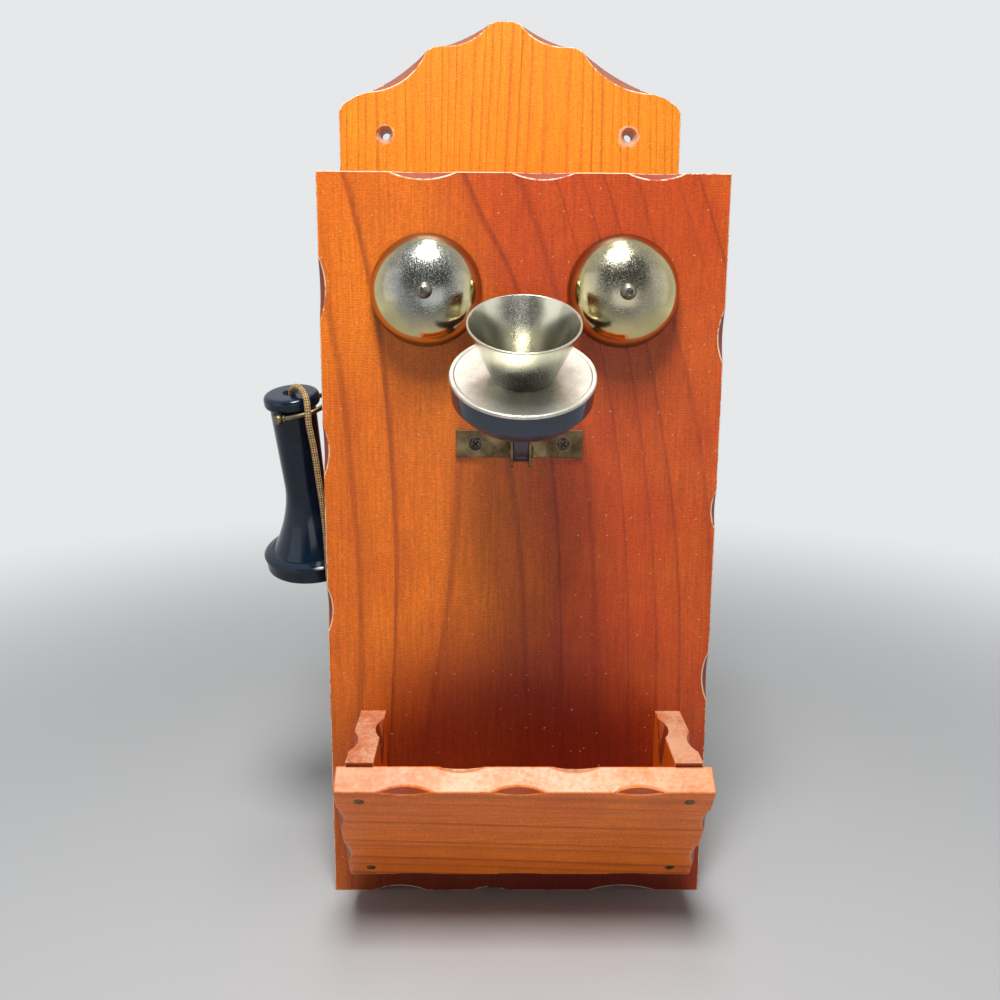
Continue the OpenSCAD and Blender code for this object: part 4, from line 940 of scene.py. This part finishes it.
class MESH_OT_telephone_cord(Operator):
    """Adds the braided cord from the receiver's cap down into the grommet"""

    bl_idname = "mesh.telephone_cord"
    bl_label = "Receiver cord"

    def execute(self, context):
        setting = context.scene.telephone_cord
        line = route([mm(*p) for p in CORD_POINTS], 12)
        curve = bpy.data.curves.new("receiver_cord", "CURVE")
        curve.dimensions = "3D"
        spline = curve.splines.new("POLY")
        spline.points.add(len(line) - 1)
        for point, place in zip(spline.points, line):
            point.co = (*place, 1)
        cloth = braided_cloth("cotton_braid_gold_brown", setting.light, setting.dark)
        cord = grown(
            new_object("braided_receiver_cord", curve), braid_tree(),
            Diameter=setting.diameter, Yarns=float(setting.yarns), Lay=setting.lay,
            Relief=setting.relief, Step=0.00035, Sides=40, Material=cloth,
        )
        dressed(cord, cloth, "cord_braid", None, "receiver_cord")
        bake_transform(cord, "receiver", "case", start=tuple(line[0]), end=tuple(line[-1]))
        outline = filleted(
            [(2.3, -2, 0.5), (6, -2, 0.7), (6, 0), (4, 0), (4, 12), (2.3, 12), (2.3, -2)]
        )
        grommet = turned(
            "rubber_grommet", outline[:-1], placed(GROMMET, (90, "Y")), sides=64, closed=True
        )
        rubber = soft_rubber("moulded_rubber", "#2a211b")
        dressed(grommet, rubber, "grommet_rubber", "case", "cord_grommet", crease=38)
        return {"FINISHED"}


class MESH_OT_telephone_boards(Operator):
    """Adds the back board, the case's boards and the front panel, with rubbed edges"""

    bl_idname = "mesh.telephone_boards"
    bl_label = "Boards"

    def execute(self, context):
        wood = context.scene.telephone_wood
        crown = stained_pine(
            "stained_pine_crown", wood.crown_early, wood.crown_late, wood.crown_deep,
            wood.bare, pith=(20, 32), ring=wood.crown_ring / MM, taper=0.02, late_share=0.62,
            ripple=0.04, gloss=0.36, even=0.6, late_at=0.78,
            holes=[(s * WALL_HOLES[0] + WALL_HOLES[1], WALL_HOLES[2]) for s in (-1, 1)],
        )
        case = (wood.panel_early, wood.panel_late, wood.panel_deep, wood.bare)
        side = stained_pine("stained_pine_case", *case, pith=(60, 30), ring=7.5, shift=(0, 0, 90))
        shelf = stained_pine(
            "stained_pine_shelf", *case, turn=(0, -90, 0), pith=(60, 30), ring=7.5
        )
        front = stained_pine(
            "stained_pine_panel", *case, pith=(-22, 8), ring=wood.panel_ring / MM, taper=0.04,
            heart=(78, 45, 60), late_share=0.6, ripple=0.08, late_at=0.87, sweep=(150, 0.0012),
            # a maroon patch of painted shade and deeper stain inside the letter pocket
            pocket_shade_and_stain=(0, 40, 130, 130),
        )
        shown, hidden = {"front": WALLWARD}, {"shortest": 30.0}
        for node, finish, slot, marks in (
            ("back_board", crown, "back_pine", shown),
            ("case_left_side", side, "case_pine", hidden),
            ("case_right_side", side, "case_pine", hidden),
            ("case_top", shelf, "case_pine", hidden),
            ("case_bottom", shelf, "case_pine", hidden),
            ("front_panel", front, "panel_pine", shown),
        ):
            board = eased_copy(node, wood.edge_ease, **marks)
            dressed(board, finish, slot, "case", node)
        return {"FINISHED"}


class MESH_OT_telephone_pocket(Operator):
    """Adds the letter pocket: its leaning front, two wedge brackets and the slat below"""

    bl_idname = "mesh.telephone_pocket"
    bl_label = "Letter pocket"

    def execute(self, context):
        wood = context.scene.telephone_wood
        colours = (wood.pocket_early, wood.pocket_late, wood.pocket_deep, wood.bare)
        leaning = stained_pine(
            "stained_pine_pocket", *colours, turn=(-POCKET_LEAN, -90, 0), pith=(20, 40),
            ring=9.0, taper=0.04, late_share=0.62, wear=0.2, ripple=0.02, gloss=0.34,
            late_at=0.62,
        )
        upright = stained_pine("stained_pine_bracket", *colours, pith=(70, 30), ring=6.5, wear=0.4)
        flat = stained_pine(
            "stained_pine_slat", *colours, turn=(0, -90, 0), pith=(40, 50), ring=6.5
        )
        across = Matrix.Rotation(math.radians(POCKET_LEAN), 3, "X") @ WALLWARD
        rim, up = wood.edge_ease, Vector((0, 0, 1))
        for node, finish, ease, front in (
            ("pocket_front", leaning, 0.9 * MM, across),
            ("pocket_left_bracket", upright, rim, up),
            ("pocket_right_bracket", upright, rim, up),
            ("pocket_floor", flat, rim, None),
        ):
            # pieces with a front get the painted highlight on their upward faces
            piece = eased_copy(node, ease, front=front, painted_sheen_on_tops=front is not None)
            dressed(piece, finish, "pocket_pine", "case", node)
        return {"FINISHED"}


def gong_skin(inset, first, last):
    """The line (r, z) of a gong's skin, less its screw hole, inset from its outside and
    between two angles in degrees."""
    bend = 2 / 2.3
    line = [
        (
            (GONG_R - inset) * math.cos(math.radians(a)) ** bend,
            GONG_GAP + (GONG_H - inset) * math.sin(math.radians(a)) ** bend,
        )
        for a in spread(first, last, 56)
    ]
    return [point for point in line if point[0] > GONG_HOLE]


class MESH_OT_telephone_gongs(Operator):
    """Adds the two spun gongs"""

    bl_idname = "mesh.telephone_gongs"
    bl_label = "Gongs"

    def execute(self, context):
        metal = context.scene.telephone_metal
        outer, inner = gong_skin(0, 0, 90), gong_skin(GONG_WALL, 90, 0)
        lip = GONG_GAP - 0.15
        outline = [
            *outer, (GONG_HOLE, outer[-1][1]), (GONG_HOLE, inner[0][1]), *inner,
            (GONG_R - GONG_WALL + 0.3, lip), (GONG_R - 0.3, lip),
        ]
        for side, x, tarnish, cover in (
            ("left", GONG_X[0], metal.gong_stain, 0.9),
            ("right", GONG_X[1], metal.gong_brown, 0.8),
        ):
            base = placed((x, PANEL_FRONT, GONG_Z), (90, "X"))
            gong = turned(side + "_gong_spun", outline, base, sides=160, closed=True)
            plate = speckled_plate(
                "spun_plated_brass_" + side, metal.gong_clean, tarnish, metal.gong_dull,
                [(base @ mm(0, 5, GONG_H - 4), 14, 30)], polish=0.12, cover=cover,
                # painted shade browning the rim on the wall side
                flank=(PANEL_FRONT - 17, PANEL_FRONT - 8),
            )
            dressed(gong, plate, "gong_brass", "case", side + "_gong", crease=50)
        return {"FINISHED"}


class MESH_OT_telephone_bracket(Operator):
    """Adds the transmitter's bracket and its hinge pin"""

    bl_idname = "mesh.telephone_bracket"
    bl_label = "Transmitter bracket"

    def execute(self, context):
        metal = context.scene.telephone_metal
        brass = aged_metal("cast_brass_aged", metal.brass_clean, metal.brass_stain)
        screws = [mm(PIVOT[0] + s * BRACKET_SCREW, 0, PIVOT[2]) for s in (-1, 1)]

        def open_edge(middle):
            near_screw = min((Vector((middle.x, 0, middle.z)) - p).length for p in screws)
            pin = Vector((0, middle.y, middle.z)) - mm(0, PIVOT[1], PIVOT[2])
            return near_screw > SCREW_CLEAR * MM and pin.length > PIN_CLEAR * MM

        piece = eased_copy("transmitter_bracket", 0.35 * MM, shortest=0.2, allowed=open_edge)
        piece.name = "bracket_cast"
        dressed(piece, brass, "aged_brass", "case", "transmitter_bracket")
        outline = filleted(
            [(0, -6.75), (1.6, -6.75), (3.2, -6.35, 0.5), (3.2, -5.5), (2, -5.5), (2, 5.5),
             (3.2, 5.5), (3.2, 6.35, 0.5), (1.6, 6.75), (0, 6.75)]
        )
        pin = turned("hinge_pin_riveted", outline, placed(PIVOT, (90, "Y")), sides=48)
        dressed(pin, brass, "aged_brass", "case", "transmitter_pin", crease=38)
        return {"FINISHED"}


class MESH_OT_telephone_transmitter(Operator):
    """Adds the transmitter: moulded cup, spun face plate and flared mouthpiece"""

    bl_idname = "mesh.telephone_transmitter"
    bl_label = "Transmitter"

    def execute(self, context):
        metal, black = context.scene.telephone_metal, context.scene.telephone_black
        inside, quarter, r = CUP_R - CUP_WALL, math.pi / 2, CUP_CROWN_R
        top, seat = CUP_BACK + CUP_DEPTH, CUP_BACK + CUP_WALL
        dome = [
            (r + (inside - r) * math.sin(a), CUP_BACK - CUP_DOME * math.cos(a))
            for a in spread(0, quarter, 24)
        ]
        shoulder = [
            (inside + CUP_WALL * math.sin(a), seat - CUP_WALL * math.cos(a))
            for a in spread(0, quarter, 10)[1:]
        ]
        mouth = filleted(
            [(CUP_R, top - 4), (CUP_R, top, 0.4), (inside, top, 0.3), (inside, seat, 1.0),
             (0, seat)]
        )
        outline = [(0, CUP_BACK - CUP_DOME), *dome, *shoulder, *mouth]
        cup = turned("transmitter_cup_moulded", outline, AT_TRANSMITTER, sides=160)
        lug = block("lug", (2 * KNUCKLE_HALF, 2 * KNUCKLE_R, 30), (0, 0, 15), AT_TRANSMITTER, 0.6)
        hinge, r, half = AT_TRANSMITTER @ SIDEWAYS, KNUCKLE_R, KNUCKLE_HALF
        round_end = filleted([(0, -half), (r, -half, 0.6), (r, half, 0.6), (0, half)])
        lug = combined(lug, [turned("knuckle", round_end, hinge, sides=64)], "UNION")
        cup = combined(cup, [lug], "UNION")
        through = [(0, -8), (PIN_BORE_R, -8), (PIN_BORE_R, 8), (0, 8)]
        cup = combined(cup, [turned("bore", through, hinge, sides=48)], "DIFFERENCE")
        # the cup's paler, bluer plastic is a painted reflection of the surroundings it mirrors
        moulding = black_moulding(
            "moulded_bakelite_cup", black.cup, black.dust, black.gloss, ior=1.55
        )
        dressed(cup, moulding, "black_plastic", "transmitter", "transmitter_cup", crease=42)

        satin = spun_nickel(
            "spun_nickel_face", metal.plate, "#a8a69c", polish=0.36, matrix=AT_TRANSMITTER,
            rings=1.2,
        )
        low, high, rim = FACE_REACH - FACE_T, FACE_REACH, FACE_REACH + 0.4
        outline = filleted(
            [(0, low), (FACE_R, low, 0.3), (FACE_R, rim - 0.3, 0.3), (FACE_R - 0.5, rim, 0.2),
             (FACE_R - 2.2, rim, 0.2), (FACE_R - 2.8, high, 0.3), (16, high), (0, high)]
        )
        drilled = partial(
            grown, tree=perforating_tree(), Hole_diameter=0.0024, Ring_radius=0.006,
            Holes_in_ring=6, Depth=0.006, Turn=tuple(AT_TRANSMITTER.to_euler()),
        )
        face = drilled(
            turned("face_plate_spun", outline, AT_TRANSMITTER, sides=160),
            Origin=tuple(AT_TRANSMITTER @ mm(0, 0, high - FACE_T / 2)), Material=satin,
        )
        dressed(face, satin, "horn_nickel", "transmitter", "transmitter_face", crease=38)

        bright = speckled_plate(
            "spun_nickel_horn", metal.horn_clean, metal.horn_stain, metal.gong_dull,
            [(AT_TRANSMITTER @ mm(-2, 23, FACE_REACH + 22), 4, 17),
             # painted shade: the lower outside mirrors the face plate where the horn shades it
             (AT_TRANSMITTER @ mm(1, -18, FACE_REACH + 6), 9, 25)],
            polish=0.2, cover=0.85,
        )
        tip, bell, floor = high + HORN_LEN, HORN_RIM_R - HORN_WALL, high + HORN_FLOOR
        outline = filleted(
            [(0, high), (HORN_BASE_R - 0.4, high), (HORN_BASE_R, high + 0.5, 0.3),
             (HORN_RIM_R - 0.15, tip - 0.9, 0.4), (HORN_RIM_R, tip, 0.45),
             (bell, tip, 0.45), (bell - 0.5, tip - 1.0),
             (HORN_BASE_R - HORN_WALL, floor, 2.5), (9.5, floor), (0, floor)],
            steps=10,
        )
        horn = drilled(
            turned("mouthpiece_spun", outline, AT_TRANSMITTER, sides=160),
            Origin=tuple(AT_TRANSMITTER @ mm(0, 0, high + HORN_FLOOR / 2)), Material=bright,
        )
        dressed(horn, bright, "horn_nickel", "transmitter", "mouthpiece", crease=50)
        return {"FINISHED"}


def barrel(s):
    """The radius of the receiver's barrel at a distance below its neck, in millimetres."""
    flare = FLARE_RISE * max(0, s - SHELL_LEN + FLARE_LEN) ** FLARE_BEND
    return BARREL_R - BARREL_TAPER * s + flare


class MESH_OT_telephone_receiver(Operator):
    """Adds the receiver: flared barrel, rounded top cap and ear cap"""

    bl_idname = "mesh.telephone_receiver"
    bl_label = "Receiver"

    def execute(self, context):
        black = context.scene.telephone_black
        moulding = black_moulding(
            "moulded_bakelite_receiver", black.moulding, black.dust, black.gloss
        )
        steps = spread(0, SHELL_LEN, 84)
        foot = -SHELL_LEN - EAR_PLATE_T
        outer = [(barrel(s), -s) for s in steps]
        inner = [(r - SHELL_WALL, z) for r, z in reversed(outer) if r < FOOT_R + 0.2]
        shell = [*outer, (FOOT_R, -SHELL_LEN), (FOOT_R, foot), (FOOT_R - 2, foot), *inner]
        cap = filleted(
            [(2.9, -6), (11, -6, 0.3), (11.15, 0), (TOP_CAP_R, 0, 2.6),
             (TOP_CAP_R, TOP_CAP_T, 3.4), (5.2, TOP_CAP_T, 1.0), (2.9, 5.2, 1.0), (2.9, -6)],
            steps=12,
        )[:-1]
        top, r, end = -SHELL_LEN, EAR_CAP_R, -SHELL_LEN - EAR_CAP_T
        skirt, hollow, plate = r - 1, r - 4.4, top - EAR_PLATE_T
        ear = filleted(
            [(EAR_SEAT_R, top), (barrel(SHELL_LEN) + 1.5, top, 0.6), (r - 1.6, top - 1.2, 1.2),
             (r, top - 2.6, 0.6), (r, top - 3.6, 0.4), (skirt, top - 4.6, 0.5),
             (skirt, end + 1, 0.8), (skirt - 1, end, 0.8), (skirt - 4, end, 0.6),
             (8.5, end + 2.5, 4.0), (EAR_HOLE_R, end + 2.5, 0.6), (EAR_HOLE_R, end + 3.5),
             (hollow, end + 3.5), (hollow, plate), (EAR_SEAT_R, plate), (EAR_SEAT_R, top)]
        )[:-1]
        for name, outline, sides, node in (
            ("receiver_barrel", shell, 144, "receiver_shell"),
            ("receiver_cap", cap, 128, "receiver_top_cap"),
            ("receiver_ear_cap", ear, 160, "ear_cap"),
        ):
            piece = turned(name, outline, AT_RECEIVER, sides=sides, closed=True)
            dressed(piece, moulding, "black_plastic", "receiver", node, crease=45)
        return {"FINISHED"}


class MESH_OT_telephone_hook(Operator):
    """Adds the fork that carries the receiver, with its ball ends"""

    bl_idname = "mesh.telephone_hook"
    bl_label = "Receiver fork"

    def execute(self, context):
        metal = context.scene.telephone_metal
        bend = [
            (FORK_CENTRE + FORK_HALF * math.cos(a), FORK_HALF * math.sin(a), 0)
            for a in map(math.radians, spread(-90, 90, 40))
        ]
        line = [(FORK_END, -FORK_HALF, 0), *bend, (FORK_END, FORK_HALF, 0)]
        fork = tube("fork_wire", [AT_FORK @ mm(*p) for p in line], WIRE_R)
        outline = filleted(
            [(0, 19.6), (1.4, 19.6, 0.4), (SHANK_R, 20.6, 0.5), (SHANK_R, SHANK_END, 0.1),
             (0, SHANK_END)]
        )
        joined = [turned("shank", outline, AT_FORK @ SIDEWAYS, sides=40)]
        arc = [
            (BALL_R * math.sin(a), -BALL_R * math.cos(a))
            for a in spread(0, math.pi * 24 / 28, 24)
        ]
        collar = filleted([(1.5, 2.7), (2.1, 2.9, 0.2), (2.1, 4.0, 0.2), (1.3, 4.3), (0, 4.3)])
        for s in (-1, 1):
            there = AT_FORK @ placed((FORK_END, s * FORK_HALF, 0)) @ SIDEWAYS
            joined.append(turned("ball", arc + collar, there, sides=48))
        fork = combined(fork, joined, "UNION")
        brass = aged_metal("drawn_brass_fork", "#93866a", metal.brass_stain, polish=0.28)
        dressed(fork, brass, "aged_brass", "hook", "hook_fork", crease=45)
        return {"FINISHED"}


class MESH_OT_telephone_fasteners(Operator):
    """Adds the screws and nails, each kind set on its own points"""

    bl_idname = "mesh.telephone_fasteners"
    bl_label = "Screws and nails"

    def execute(self, context):
        metal = context.scene.telephone_metal
        steel, dulled, dark, bronze = (
            aged_metal(name, clean, stain, scale=scale, edge=edge)
            for name, clean, stain, scale, edge in (
                ("drawn_steel_screw", metal.steel, metal.steel_stain, 220, "#cfccc2"),
                ("dulled_steel_screw", "#a29d92", "#4a443c", 220, "#a8a59c"),
                ("browned_steel_screw", "#5e5148", "#332b27", 260, "#9c8f84"),
                ("bronze_nail", metal.bronze, "#54402a", 260, "#b08c50"),
            )
        )
        tree = placing_tree()
        leaning = placed(POCKET_FOOT, (POCKET_LEAN, "X")) @ placed((0, -POCKET_T, 0))
        out, inward = -WALLWARD, Vector((1, 0, 0))
        left, right = (mm(x, PANEL_FRONT - GONG_GAP - GONG_H, GONG_Z) for x in GONG_X)
        near, far = (mm(PIVOT[0] + s * BRACKET_SCREW, BRACKET_SEAT, PIVOT[2]) for s in (-1, 1))
        low, high = (mm(HOOK_SCREW_X, HOOK_SCREW_Y, z) for z in HOOK_SCREW_Z)
        behind = [mm(s * BACK_SCREW_X, BACK_Y, z) for s in (-1, 1) for z in BACK_SCREW_Z]
        nails = [leaning @ mm(s * NAIL_X, 0, z) for s in (-1, 1) for z in NAIL_Z]
        outward = leaning.to_3x3() @ out
        # head, shank, width and length in mm, finish, slot, [(place, aim, turn)] and node
        for head, shank, wide, long, finish, slot, spots, node in (
            ("round", 4.0, 8.6, 35.7, dulled, "screw_steel", [(left, out, 50)],
             "left_gong_screw"),
            ("round", 4.0, 8.6, 35.7, dulled, "screw_steel", [(right, out, 8)],
             "right_gong_screw"),
            ("flat", 3.6, 8.0, 14.0, dark, "screw_steel", [(near, out, 38), (far, out, 52)],
             "bracket_screws"),
            ("flat", 3.5, 7.0, 32.0, steel, "screw_steel",
             [(spot, WALLWARD, 20 * i + 7) for i, spot in enumerate(behind)], "back_screws"),
            ("flat", 2.5, 5.0, 9.0, steel, "screw_steel",
             [(low, inward, -15), (high, inward, 45)], "hook_bracket_screws"),
            ("nail", 2.4, 5.5, 29.0, bronze, "aged_brass",
             [(nail, outward, 0) for nail in nails], "pocket_nails"),
        ):
            name = node.removesuffix("s") + "_set"
            shape = fastener(name + "_shape", head, shank, wide, long)
            mesh = bpy.data.meshes.new(name)
            mesh.from_pydata([tuple(place) for place, _, _ in spots], [], [])
            aims = mesh.attributes.new("aim", "FLOAT_VECTOR", "POINT")
            aims.data.foreach_set("vector", [v for _, aim, _ in spots for v in aim])
            turns = mesh.attributes.new("turn", "FLOAT", "POINT")
            turns.data.foreach_set("value", [math.radians(turn) for _, _, turn in spots])
            points = new_object(name, mesh)
            piece = grown(points, tree, Shape=shape, Scale=1.0, Material=finish)
            discard(shape)
            dressed(piece, finish, slot, "case", node, crease=40)
        return {"FINISHED"}


class MATERIAL_OT_telephone_inner(Operator):
    """Gives the posts, the hook's mechanism, the capsules and the magnet their finishes"""

    bl_idname = "material.telephone_inner"
    bl_label = "Inner parts"

    def execute(self, context):
        metal = context.scene.telephone_metal
        brass = aged_metal("turned_brass_post", "#a88f58", "#6e5936")
        zinc = aged_metal(
            "zinc_plated_steel", metal.steel, metal.steel_stain, 0.3, 140, "#d6d6d2"
        )
        aluminium = aged_metal(
            "drawn_aluminium_capsule", "#a2a4a4", "#7c7e80", 0.38, edge="#d8d8d8"
        )
        iron = aged_metal("cast_magnet_iron", "#5e4a40", "#3a2c26", 0.5, edge="#8c7a70")
        for finish, names in (
            (brass, ("left_gong_post", "right_gong_post")),
            (zinc, ("hook_lever", "hook_bracket", "hook_pin", "hook_spring", "spring_anchor")),
            (aluminium, ("transmitter_capsule", "receiver_capsule")),
            (iron, ("receiver_magnet",)),
        ):
            for name in names:
                materials = NODES[name].data.materials
                if not materials:
                    materials.append(finish)
                for slot in NODES[name].material_slots:
                    slot.material = finish
        return {"FINISHED"}


GROUPS = {
    "telephone_wood": TelephoneWood,
    "telephone_metal": TelephoneMetal,
    "telephone_black": TelephoneBlack,
    "telephone_cord": TelephoneCord,
    "telephone_stage": TelephoneStage,
}
OPERATORS = (
    SCENE_OT_telephone_stage,
    MESH_OT_telephone_cord,
    MESH_OT_telephone_boards,
    MESH_OT_telephone_pocket,
    MESH_OT_telephone_gongs,
    MESH_OT_telephone_bracket,
    MESH_OT_telephone_transmitter,
    MESH_OT_telephone_receiver,
    MESH_OT_telephone_hook,
    MESH_OT_telephone_fasteners,
    MATERIAL_OT_telephone_inner,
)


class VIEW3D_PT_telephone(Panel):
    """Lists the telephone's settings and the operators that build it"""

    bl_label = "Pine Wall Telephone"
    bl_idname = "VIEW3D_PT_telephone"
    bl_space_type = "VIEW_3D"
    bl_region_type = "UI"
    bl_category = "Telephone"

    def draw(self, context):
        for group in GROUPS:
            box = self.layout.box()
            settings = getattr(context.scene, group)
            for name in settings.__annotations__:
                box.prop(settings, name)
        for step in OPERATORS:
            self.layout.operator(step.bl_idname)


CLASSES = (*GROUPS.values(), *OPERATORS, VIEW3D_PT_telephone)


def register():
    """Registers the classes and puts the settings on the scene."""
    for each in CLASSES:
        bpy.utils.register_class(each)
    for name, group in GROUPS.items():
        setattr(bpy.types.Scene, name, PointerProperty(type=group))


def unregister():
    """Takes the settings and the classes away again."""
    for name in GROUPS:
        delattr(bpy.types.Scene, name)
    for each in reversed(CLASSES):
        bpy.utils.unregister_class(each)


def main():
    register()
    for step in OPERATORS:
        section, name = step.bl_idname.split(".")
        getattr(getattr(bpy.ops, section), name)()


if __name__ == "__main__":
    main()
